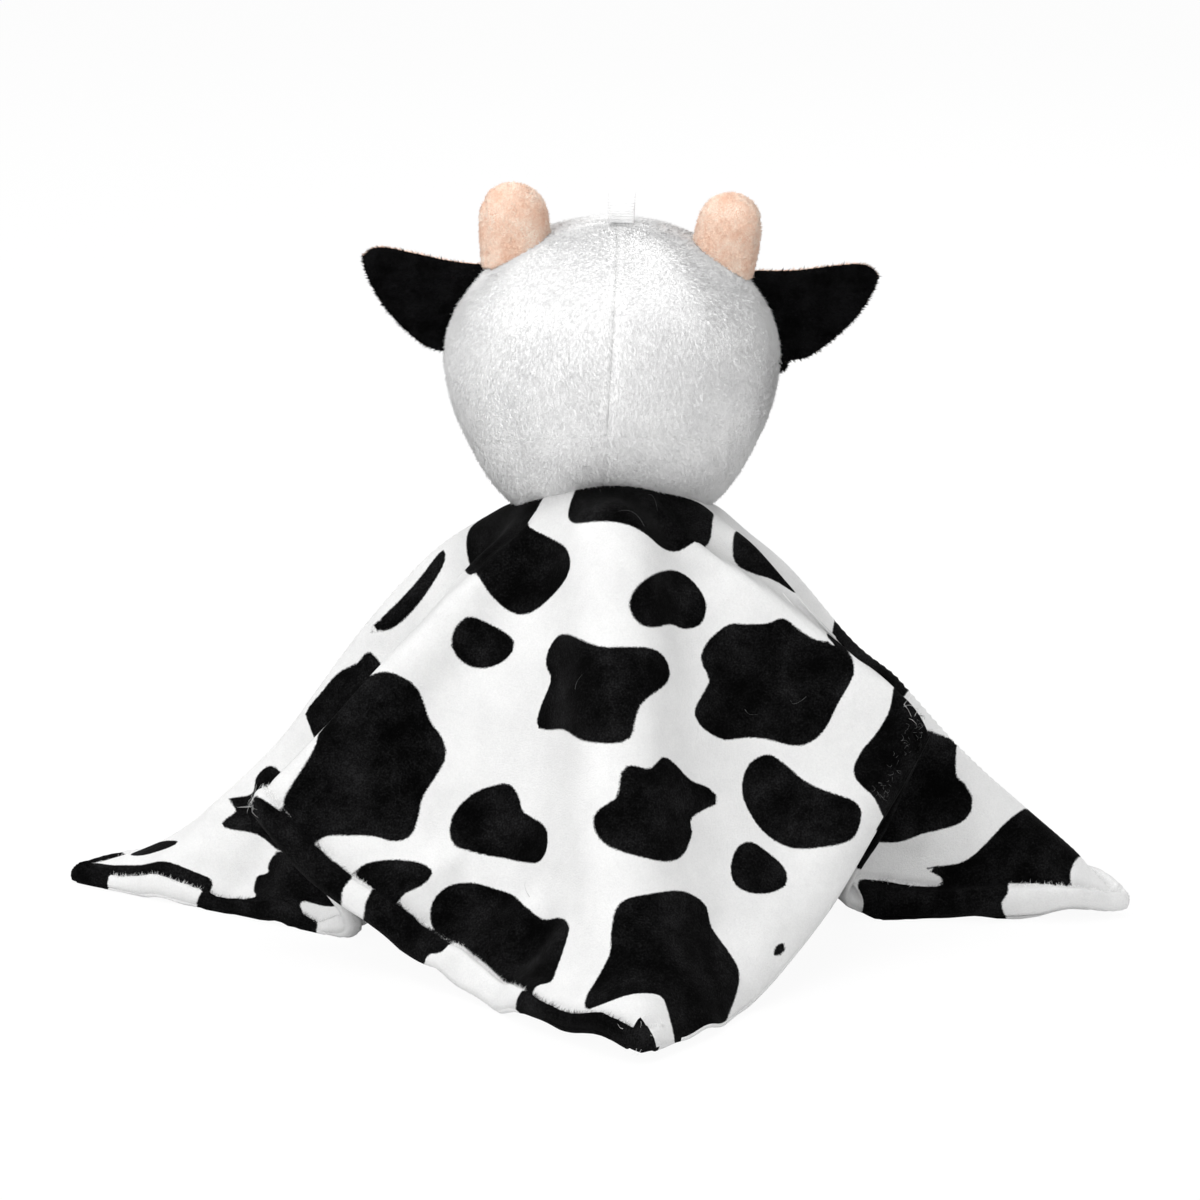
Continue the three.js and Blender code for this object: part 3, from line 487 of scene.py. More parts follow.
# Cow print: outlines on the flat cloth, in mm along its two edges from the middle.
topSpots = (
    ((-38, -23), (-34.7, -18.6), (-27, -14), (-19, -12), (-12.4, -20.8), (-6, -30.5), (1, -34), (2, -39),
     (-3, -44.5), (-8, -49.5), (-12, -51.2), (-14.5, -49.6), (-22.4, -49), (-29, -45.8), (-34.7, -37.4),
     (-37.8, -29.7)),
    ((-62, -6), (-64.5, -13), (-65.2, -20), (-62.4, -25.2), (-55.8, -30.2), (-49.7, -33.9), (-46.3, -31.9),
     (-44.1, -26.3), (-43.3, -17.4), (-42.4, -8.4), (-36, -6.2), (-30, -4.4), (-24, 0), (-20, 13), (-22, 22),
     (-27, 27), (-36, 27.5), (-50, 20), (-59, 8), (-62.6, -1), (-63, -5.6)),
    ((-82.4, -16.3), (-80.8, -13), (-76.9, -11.3), (-72.4, -11.9), (-70.8, -16.3), (-70.4, -23),
     (-71.9, -26.3), (-75.8, -26.1), (-79.7, -23.6), (-82.1, -20.2)),
    ((-52.1, -59.1), (-50.2, -54.7), (-44.7, -51.9), (-35.8, -51.7), (-28, -53.6), (-24.7, -57.4),
     (-24.7, -62.4), (-27.4, -67.4), (-32.4, -69.9), (-38, -68), (-42.4, -64.3), (-49.7, -61.9)),
    ((-83.2, -49.7), (-83.3, -46.9), (-79.1, -45.4), (-72.4, -45.2), (-70.8, -40.8), (-67.4, -38.6),
     (-63, -40.8), (-61.3, -47.4), (-61, -57.4), (-59.1, -61.3), (-53.6, -66.3), (-52.2, -70.8),
     (-55.8, -74.3), (-65.8, -74.1), (-70.2, -75.8), (-74.7, -78.8), (-78, -77.4), (-80.2, -70.8),
     (-80.6, -59.7), (-82.4, -53)),
    ((-53.6, -88), (-51.9, -85), (-42.4, -83.2), (-40.8, -80.8), (-39.7, -76.9), (-33.6, -74.7),
     (-25.8, -75.4), (-21.9, -79.1), (-16.9, -84.1), (-12.4, -87.4), (-11.3, -95.2), (-10.2, -100.8),
     (-7.4, -108.6), (-7.1, -115.2), (-9.7, -118.8), (-18, -118.8), (-24.7, -119.3), (-30.2, -118),
     (-34.7, -114.1), (-39.1, -106.3), (-43.6, -101.3), (-49.7, -96.9), (-52.7, -91.9)),
    ((-144.2, -11.4), (-140.5, -8.7), (-133.2, -7.2), (-124.7, -5.6), (-119.5, -2.4), (-114.2, -0.6),
     (-107.9, -1.2), (-100.5, -4), (-96.3, -7.2), (-94.4, -11.9), (-95.8, -15.6), (-98.9, -19.8),
     (-100.5, -24.5), (-103.7, -27.9), (-108.9, -29), (-115.3, -29.8), (-119.5, -31.9), (-124.7, -33.8),
     (-128.4, -32.1), (-130.5, -27.7), (-134.2, -23.5), (-138.4, -19.8), (-143.2, -18.7), (-144.5, -15)),
    ((-120.2, -44.5), (-118.4, -40.8), (-114.2, -38.4), (-108.9, -38.7), (-104.7, -40.8), (-100, -45.6),
     (-98.9, -49.3), (-100, -53.5), (-101.8, -56.6), (-101.6, -61.4), (-101.6, -67.7), (-103.2, -71.9),
     (-106.8, -74.5), (-110, -73.5), (-111.6, -68.7), (-113.7, -61.4), (-116.3, -55.1), (-118.9, -48.7)),
    ((-98.6, -96.9), (-97.4, -91.3), (-93.6, -86.9), (-88, -87.7), (-85.2, -85.8), (-81.3, -83.2),
     (-79.1, -85.4), (-78, -87.2), (-72.4, -87.2), (-70, -90.8), (-68, -96.9), (-64.7, -100.8),
     (-63.3, -104.7), (-64.7, -106.6), (-69.1, -105.2), (-76.3, -103.9), (-79.1, -106.9), (-86.9, -109.1),
     (-93, -107.4), (-96.9, -103)),
    ((-58.6, -118.6), (-56.9, -111.9), (-53, -108), (-47.4, -106.7), (-41.9, -109.1), (-40.2, -114.1),
     (-39.3, -123), (-36.9, -130.8), (-34.1, -138.6), (-34.7, -143), (-40.2, -145), (-45.2, -142.4),
     (-50.8, -136.9), (-55.8, -130.8), (-58.2, -124.7)),
    ((-78, -124.7), (-75.2, -120.8), (-69.1, -118.8), (-64.1, -120.8), (-62.1, -126.3), (-61.6, -133),
     (-64.7, -136.1), (-69.1, -135.2), (-73.6, -132.4), (-76.9, -128.6)),
    ((-145.8, -128), (-141.9, -124.1), (-133.6, -121.3), (-124.7, -118), (-118, -113), (-110.2, -108.6),
     (-103.6, -111.3), (-94.7, -116.3), (-90.8, -123), (-93.6, -128.6), (-95.2, -136.3), (-98, -143),
     (-105.8, -147.4), (-116, -151), (-128, -154), (-137, -152), (-133.6, -144.1), (-131.6, -139.7),
     (-135.8, -135.8), (-141.3, -132.4)),
    ((-141, -57.2), (-138.4, -53), (-134.2, -50.6), (-129, -51.4), (-124.7, -56.1), (-122.4, -62.4),
     (-120.5, -69.8), (-120.7, -76.1), (-121.6, -81.4), (-122.4, -86.6), (-120.5, -91.9), (-120.2, -96.1),
     (-121.8, -99.8), (-126.8, -102.4), (-134.2, -106.1), (-139.5, -108.7), (-142.5, -106.5), (-147, -107.2),
     (-144.5, -99.3), (-143, -90.8), (-141.5, -80.3), (-141.5, -74), (-141, -65.6)),
    ((-143.6, -32.4), (-139, -30.8), (-135.3, -32.4), (-131.6, -36.1), (-129.3, -40.3), (-129, -44),
     (-130, -45.6), (-134.2, -45.4), (-138.4, -44), (-144.1, -43.5)),
    ((-29.3, -138.6), (-28, -134.1), (-22.4, -133.3), (-16.9, -134.7), (-10.2, -135.2), (-3.6, -132.4),
     (6, -131), (36, -130), (40, -156), (-5, -157), (-20, -157), (-29.5, -153), (-29, -144)),
    ((-9, -66), (-8, -60), (-2.6, -54), (5, -50), (14, -54), (16, -64), (12, -76), (4, -84), (-1, -84),
     (-5, -76)),
    ((-7, -104), (-2, -106), (5, -112), (8, -122), (4, -129), (-2, -128), (-4.5, -119), (-6.5, -110)),
    ((-86, 77), (-83.5, 78), (-79, 73), (-74, 67), (-71, 60), (-68, 56), (-74, 50), (-84, 52), (-92, 62),
     (-92, 72)),
    ((-63.3, 57), (-59, 52), (-54, 46), (-48, 40), (-41, 35), (-44, 33), (-49, 35), (-56, 41), (-62, 49)),
    ((-41, 24), (-37, 24.5), (-32.5, 21), (-30, 15), (-33, 8), (-37, 5), (-44, 6), (-50, 12), (-48, 20)),
    ((-120, 99), (-117.8, 100), (-113.3, 97.2), (-110.2, 101.3), (-107.8, 93.3), (-102.2, 92.8), (-99, 88),
     (-104, 80), (-114, 76), (-122, 82), (-119, 90)),
    ((-143.7, 84.2), (-139.2, 86.3), (-135, 87.9), (-132, 87.9), (-130.4, 85), (-127.5, 85.8), (-122.9, 83.3),
     (-124, 74), (-131, 66), (-137, 62), (-138.5, 67), (-140, 71.5), (-144.5, 71), (-148.5, 66), (-154, 64),
     (-154, 90), (-146.7, 93.3)),
    ((-155, 145), (-143.6, 144), (-142.6, 130), (-142, 115), (-141, 106), (-140.5, 101), (-141, 98),
     (-146, 97), (-152, 100), (-155, 115)),
    ((-134, 133), (-129, 131), (-127, 125), (-128, 114), (-131, 114.5), (-136, 122), (-136.5, 128)),
    ((-155, 148), (-146, 148), (-143, 149), (-140, 152), (-150, 158)),
    ((54, -66), (57, -59), (62, -56), (70, -60), (78, -68), (83, -76), (79, -82), (72, -84), (64, -80),
     (57, -73)),
    ((90, -93.7), (96.3, -96.7), (96, -100), (96.7, -105.3), (98.7, -107.3), (100.3, -109.7), (101.5, -112),
     (101.3, -115.3), (100.3, -116.7), (97.3, -117.7), (92.7, -117.5), (88, -117.3), (82.7, -118.8),
     (78, -119.1), (70, -118), (72, -106), (80, -96), (86, -92)),
    ((89.3, -128.5), (92.7, -128.1), (97.3, -128.7), (100.3, -128.3), (102.7, -127), (106, -124.7),
     (109.3, -122.3), (112.7, -120.3), (118, -118.7), (126, -119), (135, -126), (138, -131), (134.7, -133.7),
     (132, -135), (129.3, -137.3), (127.3, -140.7), (126, -145), (119, -147), (109, -144), (99, -141),
     (93.7, -137), (93.5, -133), (91, -130)),
    ((-85, -146), (-82, -147.5), (-79, -146.5), (-82, -145)),
)
liningSpots = (
    ((-156, -1), (-147, -2), (-143, -9.8), (-139, -19), (-138, -27), (-141, -31), (-147, -32.5), (-156, -36)),
    ((-158, -46), (-150, -41.4), (-146, -38.7), (-138, -37), (-134, -46), (-135, -60), (-139, -66),
     (-146.3, -69.8), (-149, -64.5), (-158, -63)),
    ((-158, -106), (-146, -107), (-141, -113), (-139, -125), (-141, -140), (-146, -156), (-160, -156)),
    ((-158, 129), (-149, 130), (-141, 129), (-133, 136), (-130, 146), (-136, 158), (-158, 158)),
    ((-158, 99), (-148, 98), (-138, 97), (-132, 88), (-135, 73), (-146, 66), (-158, 65)),
    ((70, -160), (72, -150), (74, -138), (78, -131), (90, -131), (100, -134), (108, -136.5), (109.5, -142),
     (106.5, -147), (105, -160)),
    ((-33, -162), (-31, -146), (-26, -138), (-10, -134), (10, -132), (34, -132), (44, -142), (44, -162)),
)
printFill = {"tries": 1600, "gap": 7.0, "sizes": (7.0, 23.0), "smallest": 4.5, "shrink": 0.7,
             "stretch": (0.65, 1.0),
             "points": 9, "uneven": 0.3, "step": 1.5, "reach": 36.0, "drawnTo": 8.0, "drawnOver": 1.3}


def smoothOutline(points, steps=6):
    # Closed smooth curve through an outline's points
    given = np.array(points, float)
    before, after, later = np.roll(given, 1, 0), np.roll(given, -1, 0), np.roll(given, -2, 0)
    shares = (np.arange(steps) / steps)[:, None, None]
    curve = hermite(given, (after - before) / 2, after, (later - given) / 2, shares)
    return curve.transpose(1, 0, 2).reshape(-1, 2)


def distanceInto(outline, flat):
    # Distance from flat points to an outline, positive inside
    ends = np.roll(outline, -1, 0)
    best = np.full(len(flat), 1e9)
    inside = np.zeros(len(flat), bool)
    for a, b in zip(outline, ends):
        along = b - a
        share = np.clip(((flat - a) @ along) / (along @ along + 1e-12), 0, 1)
        best = np.minimum(best, np.hypot(*(flat - a - share[:, None] * along).T))
        crosses = (a[1] > flat[:, 1]) != (b[1] > flat[:, 1])
        if abs(along[1]) > 1e-12:
            inside ^= crosses & (flat[:, 0] < a[0] + along[0] * (flat[:, 1] - a[1]) / along[1])
    return np.where(inside, best, -best)


# What the folds hide of the back half: the print is filled in here, and drawn in the rest of that half.
foldedAway = tuple(np.array(area, float) for area in (
    ((18, -40), (66, -84), (62, -148), (18, -148)), ((-147, 4), (-147, 52), (-112, 88), (-60, 36), (-36, 6))))


def turnFlat(x, y, turn):
    return x * math.cos(turn) - y * math.sin(turn), x * math.sin(turn) + y * math.cos(turn)


def fillPrint(drawn, seed, values, half):
    # Adds spots of mixed sizes to what is drawn, well clear of each other
    dice = random.Random(seed)
    outlines = [smoothOutline(points) for points in drawn]
    ticks = np.arange(-half, half + 0.1, values["step"])
    cells = np.stack(np.meshgrid(ticks, ticks), 2).reshape(-1, 2)
    taken = printOver(cells, outlines)
    for attempt in range(values["tries"]):
        size = dice.uniform(*values["sizes"]) * (1 - values["shrink"] * attempt / values["tries"])
        at = np.array((dice.uniform(-half, half), dice.uniform(-half, half)))
        turn, stretch = dice.uniform(0, math.pi), dice.uniform(*values["stretch"])
        radii = [size * (1 + values["uneven"] * dice.uniform(-1, 1)) for _ in range(values["points"])]
        column, row = (round((place + half) / values["step"]) for place in at)
        room = -taken[min(row, len(ticks) - 1) * len(ticks) + min(column, len(ticks) - 1)]
        hidden = max(distanceInto(area, at[None])[0] for area in foldedAway) > size
        drawnHere = at.sum() < values["drawnTo"] + values["drawnOver"] * size and not hidden
        if drawnHere or size < values["smallest"] or room < size + values["gap"]:
            continue
        ring = []
        for index, radius in enumerate(radii):
            angle = 2 * math.pi * index / values["points"]
            x, y = radius * math.cos(angle), radius * math.sin(angle) * stretch
            ring.append(at + turnFlat(x, y, turn))
        outlines.append(smoothOutline(ring))
        taken = np.maximum(taken, printOver(cells, outlines[-1:]))
    return outlines


def printOver(flat, outlines):
    # Distance into the nearest outline, in mm, as far as the print's reach away from it
    reach = printFill["reach"]
    deep = np.full(len(flat), -reach)
    for outline in outlines:
        near = np.all((flat > outline.min(0) - reach) & (flat < outline.max(0) + reach), 1)
        deep[near] = np.maximum(deep[near], distanceInto(outline, flat[near]))
    return deep


def flatCloth(name, values):
    # The square laid flat as a grid that crowds towards its edges, with its corners rounded
    form = bmesh.new()
    count = values["segments"]
    bmesh.ops.create_grid(form, x_segments=count, y_segments=count, size=1.0)
    cloth = fromBmesh(name, form)
    points = getPoints(cloth.data)[:, :2]
    crowd = values["edgeCrowding"]
    points = np.sign(points) * (np.abs(points) * (1 + crowd) - crowd * np.abs(points) ** 6) * values["half"]
    inset = values["half"] - np.abs(points)
    radius = values["cornerRadius"]
    corner = np.clip(1 - inset / radius, 0, 1)
    disc = corner * np.sqrt(1 - corner[:, ::-1] ** 2 / 2)
    both = np.all(inset < radius, 1)[:, None]
    rounded = np.sign(points) * (values["half"] - radius * (1 - disc))
    flat = np.where(both, rounded, points)
    return cloth, points, flat, inset


def seamInset(flat, inset, values):
    # How far the hem's seam lies from the edge beside each point: the cloth is rolled further in some places
    across = np.full(len(flat), values["stitchInset"])
    left = np.interp(flat[:, 1], *np.array(values["seamLeft"], float).T)
    near = np.interp(flat[:, 0], *np.array(values["seamNear"], float).T)
    fromLeft, fromNear = flat[:, 0] + values["half"], flat[:, 1] + values["half"]
    atLeft = (fromLeft <= inset.min(1) + 0.01) & (fromLeft < values["hemStrip"])
    atNear = (fromNear <= inset.min(1) + 0.01) & (fromNear < values["hemStrip"])
    return np.where(atLeft, left, np.where(atNear, near, across))


def tuckedShare(flat, values):
    # 1 where the near edge is turned under, out of sight
    atNear = flat[:, 1] < -values["half"] + values["hemStrip"]
    return np.interp(flat[:, 0], *np.array(values["tuck"], float).T) * atNear


def cornerAway(flat, values):
    # Distance on the flat cloth from the nearer of the two corners at the sides
    half = values["half"]
    left, right = (np.hypot(flat[:, 0] + side * half, flat[:, 1] - side * half) for side in (1, -1))
    return np.minimum(left, right)


def hemRoll(flat, inset, values, side):
    # Height of the blanket's outside over its middle surface, near the hem and away from it
    edge = np.min(inset, 1)
    across = seamInset(flat, inset, values)
    tucked = tuckedShare(flat, values)
    stations = np.stack([flat[:, 0] - flat[:, 1], flat[:, 0] + flat[:, 1], edge * 0], 1)
    pucker = lumps(stations * mm, values["puckerLength"], 31.0)
    wander = lumps(stations * mm, values["wanderLength"], 37.0)
    seamAt = across + 0.5 * pucker
    groove = np.exp(-((edge - seamAt) / values["stitchWidth"]) ** 2)
    height = values["layer"] - (values["layer"] - values["stitchHeight"] + values["pucker"] * pucker) * groove
    tall = values["rollTop"] if side > 0 else values["rollUnder"]
    tall = tall * (1 + 0.3 * wander * side) + 0.3 * pucker
    toRight = np.clip((flat[:, 0] - values["thickFrom"]) / values["thickOver"], 0, 1)
    tall = tall * (1 + values["thicker"] * toRight * (flat[:, 1] < -values["thickFrom"]))
    if side > 0:
        slack = np.where(flat[:, 0] > 0, values["slackRight"], values["slackLeft"])
        tall = tall * (slack + (1 - slack) * np.clip(cornerAway(flat, values) / values["slackOver"], 0, 1))
    share = np.clip(edge / across, 0, 1)
    fullness = 1.0 if side < 0 else values["rollFlat"]
    roll = tall * np.sqrt(np.clip(1 - (1 - share * fullness) ** 2, 0, 1))
    toSeam = np.clip((share - values["rollEnd"]) / (1 - values["rollEnd"]), 0, 1) ** 2
    height = np.where(edge < across, roll * (1 - toSeam) + values["stitchHeight"] * toSeam, height)
    lift = values["seamLift"] + values["wander"] * wander + 0.35 * pucker
    lift = lift * np.exp(-(edge / values["lipWidth"]) ** 2)
    plain = values["layer"] * np.sqrt(np.clip(1 - (1 - edge / values["plainEdge"]) ** 2, 0, 1))
    plain = np.where(edge < values["plainEdge"], plain, values["layer"])
    turned = -values["tuckDepth"] * np.clip(1 - edge / values["tuckReach"], 0, 1) ** 2
    return (side * height + lift) * (1 - tucked) + (side * plain + turned) * tucked, edge, seamAt


# Soft creases on the flat cloth: from, to, height in mm (below zero for a valley) and half width in mm.
creases = (
    ((-140, -20), (-52, -18), -3.2, 11), ((-40, -10), (-148, -8), 2.2, 6),
    ((-34, -34), (-138, -138), 7.0, 14), ((-28, -60), (-60, -140), -2.0, 12),
    ((-24, -22), (-20, -60), -2.6, 6), ((-34, -10), (-62, -12), -1.6, 5), ((-26, -26), (-52, -72), 1.2, 8),
    ((-150, -70), (-124, -78), 2.4, 5), ((-150, -94), (-126, -90), -2.2, 5),
    ((-148, -40), (-124, -46), 1.8, 4.5), ((-150, -54), (-130, -58), -1.6, 4),
    ((-122, -150), (-116, -126), 1.8, 6), ((-100, -150), (-92, -130), -1.8, 6),
    ((-146, 112), (-118, 104), 2.2, 6), ((-150, 92), (-122, 88), -2.2, 5), ((-150, 76), (-126, 78), 2.6, 4.5),
    ((-150, 66), (-130, 66), -2.0, 4), ((100, -150), (104, -124), 1.6, 5), ((80, -150), (86, -124), -2.0, 5),
    ((122, -148), (116, -130), 1.4, 5), ((78, -78), (132, -132), 3.4, 12), ((62, -96), (90, -140), -1.6, 8),
    ((-96, 60), (-140, 110), 1.6, 9), ((-80, 30), (-142, 48), -2.0, 8),
)


# Where one layer lies over the next: a line on the flat cloth, how far the cloth beside it drops, over what
# reach, and how dark the shade painted into the print there is.
overlaps = (
    (((-15.2, -28), (-14.3, -37.7), (-13.6, -47.3), (-11.4, -61.7), (-9, -78.5), (-6.8, -99.3), (-3.6, -121),
     (-1.6, -135.6), (-1.2, -150)), 5.0, 1.3, 0.45),
    (((-150, -1.5), (-127, -2), (-107, -2.6), (-89, -3.8), (-71, -4.1), (-62, -5.5), (-52, -6.1), (-42, -7.2),
     (-36, -6), (-28, -3.5)), 4.0, 1.3, 0.26),
)


# How far from the middle the overlap lines begin and ramp in, and how far their drop and painted shade reach
overlapLook = {"from": 28.0, "over": 8.0, "dropReach": 16.0, "shadeReach": 9.0}


def overlapDrop(flat):
    # Beyond each line the back quarter's sides step down to the layer behind: the drop and the painted shade there
    drop, shade = np.zeros(len(flat)), np.zeros(len(flat))
    for line, depth, reach, dark in overlaps:
        best = np.full(len(flat), 1e9)
        beyond = np.zeros(len(flat))
        for start, end in zip(line, line[1:]):
            a, b = np.array(start, float), np.array(end, float)
            along = b - a
            share = np.clip(((flat - a) @ along) / (along @ along), 0, 1)
            away = flat - a - share[:, None] * along
            distance = np.hypot(away[:, 0], away[:, 1])
            toHidden = np.array((0.0, 1.0)) if abs(along[0]) > abs(along[1]) else np.array((1.0, 0.0))
            closer = distance < best
            best = np.where(closer, distance, best)
            beyond = np.where(closer, np.sign(away @ toHidden), beyond)
        inLine = np.clip((np.hypot(*flat.T) - overlapLook["from"]) / overlapLook["over"], 0, 1)
        step = inLine / (1 + np.exp(-np.clip(beyond * best / reach, -30, 30) * 2))
        drop += depth * step * np.exp(-(best / overlapLook["dropReach"]) ** 2 * (beyond > 0))
        shade = np.maximum(shade, dark * step * np.exp(-best / overlapLook["shadeReach"]))
    return drop, shade


def creaseHeight(flat):
    height = -overlapDrop(flat)[0]
    for start, end, rise, width in creases:
        a, b = np.array(start, float), np.array(end, float)
        along = b - a
        share = ((flat - a) @ along) / (along @ along)
        aside = np.hypot(*(flat - a - np.clip(share, 0, 1)[:, None] * along).T)
        height += rise * np.exp(-(aside / width) ** 2)
    return height


def soften(points, flat, times):
    # The cloth's own stiffness: each place drawn towards its neighbours along both threads
    order = np.lexsort((np.round(flat[:, 0], 2), np.round(flat[:, 1], 2)))
    count = int(round(math.sqrt(len(points))))
    grid = points[order].reshape(count, count, 3)
    for _ in range(times):
        for axis in (0, 1):
            ahead, behind = np.roll(grid, -1, axis), np.roll(grid, 1, axis)
            drawn = 0.5 * grid + 0.25 * (ahead + behind)
            ends = [slice(None)] * 3
            ends[axis] = slice(1, -1)
            grid = grid.copy()
            grid[tuple(ends)] = drawn[tuple(ends)]
    softened = points.copy()
    softened[order] = grid.reshape(-1, 3)
    return softened


def restDrop(flat, edge, values, side):
    # How far the wings sink to lie on the floor, beside the two corners at the sides and at their tips
    fromCorner = cornerAway(flat, values)
    drop = values["restDepth"] * np.exp(-((fromCorner - values["restAway"]) / values["restWidth"]) ** 2)
    if side < 0:
        return drop
    atTip = np.where(flat[:, 0] > 0, values["tipRight"], values["tipLeft"])
    atTip = atTip * np.exp(-((fromCorner - values["tipAway"]) / values["tipWidth"]) ** 2)
    return drop * np.exp(-(edge / values["restHem"]) ** 2) + atTip


def blanketLayer(name, side, values):
    cloth, square, flat, inset = flatCloth(name, values)
    turned = np.stack([flat[:, 0] - flat[:, 1], flat[:, 0] + flat[:, 1]], 1) / math.sqrt(2)
    away = np.hypot(turned[:, 0], turned[:, 1])
    points = soften(settleCloth(drape(turned[:, 0], turned[:, 1], values), away), square, values["softening"])
    setPoints(cloth.data, points * mm)
    normals = getNormals(cloth.data)
    normals *= np.sign(normals[:, 2].sum())
    height, edge, seamAt = hemRoll(flat, inset, values, side)
    broad, fine = (lumps(points * mm, size, seed) * rise for size, seed, rise in values["waves"])
    wave = broad + fine * np.clip(1 - edge / values["waveEdge"], values["waveLeast"], 1)
    free = np.clip((away - values["patch"]) / values["freeOver"], 0, 1)
    points = points + normals * (height + free * (wave + creaseHeight(flat)))[:, None]
    points[:, 2] -= restDrop(flat, edge, values, side)
    points[:, 2] = np.maximum(points[:, 2], values["floorGap"] + (values["hemGap"] if side > 0 else 0.0))
    faceSide(standAt(cloth, points), 2, side)
    spot = printOver(flat, liningOutlines)
    if side > 0:  # the lining is turned up over the hem as far as the seam
        under, over = spot, printOver(flat, topOutlines)
        rolled = seamAt - edge - 30 * tuckedShare(flat, values)
        spot = np.maximum(np.minimum(under, rolled), np.minimum(over, -rolled))
        spot = np.maximum(spot, np.minimum(under, over))
    addValue(cloth.data, "spot", spot)
    # Painted shade beyond the overlap lines, for the print to darken with; none on the lining
    addValue(cloth.data, "shade", overlapDrop(flat)[1] if side > 0 else np.zeros(len(flat)))
    addValue(cloth.data, "seamAway", np.where(tuckedShare(flat, values) < 0.6, edge - seamAt, 99))
    layout = cloth.data.uv_layers.new(name="cloth")
    corners = np.empty(len(cloth.data.loops), int)
    cloth.data.loops.foreach_get("vertex_index", corners)
    layout.data.foreach_set("uv", (flat[corners] / (2 * values["half"]) + 0.5).ravel())
    return thicken(cloth, values["layerThickness"], applied=False), flat


topOutlines = fillPrint(topSpots, 11, printFill, blanket["half"])
liningOutlines = fillPrint(liningSpots, 29, printFill, blanket["half"])
blanketTop, topFlat = blanketLayer("blanketTop", 1, blanket)
blanketLining = blanketLayer("blanketLining", -1, blanket)[0]
finish(blanketTop, "topPrint", "cow_print_minky", "blanket_top")
finish(blanketLining, "liningPrint", "lining_minky", "blanket_lining")
rideAll((blanketTop, blanketLining), "blanket")
print("blanket draped")

# Head
head = {
    "width": 99.4, "depth": 94.0, "upper": 40.0, "lower": 50.0, "level": 161.5, "skin": -1.9,
    "thickness": 1.3, "sideStrength": 0.3, "pucker": 0.45, "puckerLength": 5.0,
    "puffs": ((22.0, 2.0, 0.5), (6.0, 4.0, 0.16)),
    "sideSeam": -4.0, "seamDepth": 0.44, "seamWidth": 0.9, "seamPull": 0.5, "seamReach": 9.0,
    "backSeamLean": 3.3, "backSeamShift": -0.6, "gap": 0.06, "neckSplit": 14.0, "neckFoot": -0.8,
    "neckBlend": 18.0, "coats": (("headBackLeft", 3, 1.0), ("headBackRight", 4, 1.0), ("headFace", 5, 0.58)),
}
neckTilt = math.radians(blanket["neckTilt"])
ringNormal = np.array((0.0, math.sin(neckTilt), math.cos(neckTilt)))
ringMiddle = np.array((0.0, 0.0, blanket["neckHeight"]))


def ringHeight(points):
    return (points - ringMiddle) @ ringNormal


def settleHead(points):
    return settle(points, easeOut((ringHeight(points) - head["neckFoot"]) / arch["headReach"]))


def headForm(values, grow, fineness=7):
    # The head's egg: points in mm about the neck's middle
    form = bmesh.new()
    bmesh.ops.create_icosphere(form, subdivisions=fineness, radius=1.0)
    for vert in form.verts:
        tall = values["lower"] if vert.co.z < 0 else values["upper"]
        vert.co = Vector((vert.co.x * (values["width"] / 2 + grow), vert.co.y * (values["depth"] / 2 + grow),
                          vert.co.z * (tall + grow) + values["level"]))
    return form


def cutAway(form, point, normal, fill=False):
    # Keeps what lies behind a plane
    geometry = form.verts[:] + form.edges[:] + form.faces[:]
    cut = bmesh.ops.bisect_plane(form, geom=geometry, plane_co=point, plane_no=normal, clear_outer=True)
    if fill:
        edges = [item for item in cut["geom_cut"] if isinstance(item, bmesh.types.BMEdge)]
        bmesh.ops.holes_fill(form, edges=edges)
    return form


lean = math.radians(head["backSeamLean"])
backSeamNormal = Vector((math.cos(lean), 0, -math.sin(lean)))
backSeamPoint = Vector((head["backSeamShift"], 0, head["level"]))
sideSeamPoint = Vector((0, head["sideSeam"], 0))


def sinkSeams(points, values):
    # The cover drawn in along its seams
    centre = np.array((0, 0, values["level"]))
    outward = points - centre
    outward /= np.linalg.norm(outward, axis=1, keepdims=True)
    fromBack = np.abs((points - np.array(backSeamPoint)) @ np.array(backSeamNormal))
    fromBack = np.where(points[:, 1] < values["sideSeam"] + 1, fromBack, 99)
    fromSide = np.abs(points[:, 1] - values["sideSeam"])
    sink = np.zeros(len(points))
    for away, strength in ((fromBack, 1.0), (fromSide, values["sideStrength"])):
        sink += strength * values["seamDepth"] * np.exp(-(away / values["seamWidth"]) ** 2)
        sink += strength * values["seamPull"] * np.exp(-(away / values["seamReach"]) ** 2)
    pucker = 1 + values["pucker"] * lumps(points * mm, values["puckerLength"], 8.0)
    puff = sum(lumps(points * mm, size, seed) * rise for size, seed, rise in values["puffs"])
    return settleHead(points + outward * (puff - sink * pucker)[:, None])


def headSkin(name, planes, fineness=7):
    # A panel's outside, one face thick, drawn in along its seams
    form = headForm(head, head["skin"], fineness)
    for point, normal in planes:
        cutAway(form, point, normal)
    piece = fromBmesh(name, form)
    return standAt(piece, sinkSeams(getPoints(piece.data), head))


def inRing(height):
    return Vector(ringMiddle + ringNormal * height)


# The planes that cut the head's form: each keeps what lies behind it.
ringUp = Vector(ringNormal)
sideGap = Vector((0, head["gap"], 0))
aboveSplit = (inRing(head["neckSplit"]), -ringUp)
behindSide = (sideSeamPoint - sideGap, Vector((0, 1, 0)))
beforeSide = (sideSeamPoint + sideGap, Vector((0, -1, 0)))
panels = {
    "headBackLeft": (aboveSplit, behindSide, (backSeamPoint - backSeamNormal * head["gap"], backSeamNormal)),
    "headBackRight": (aboveSplit, behindSide,
                      (backSeamPoint + backSeamNormal * head["gap"], -backSeamNormal)),
    "headFace": (aboveSplit, beforeSide),
}
gatherCover = ((inRing(head["neckSplit"]) - ringUp * 0.1, ringUp), (inRing(head["neckFoot"]), -ringUp))
gatherSkin = ((inRing(head["neckSplit"]), ringUp), (inRing(head["neckFoot"] + 0.2), -ringUp))
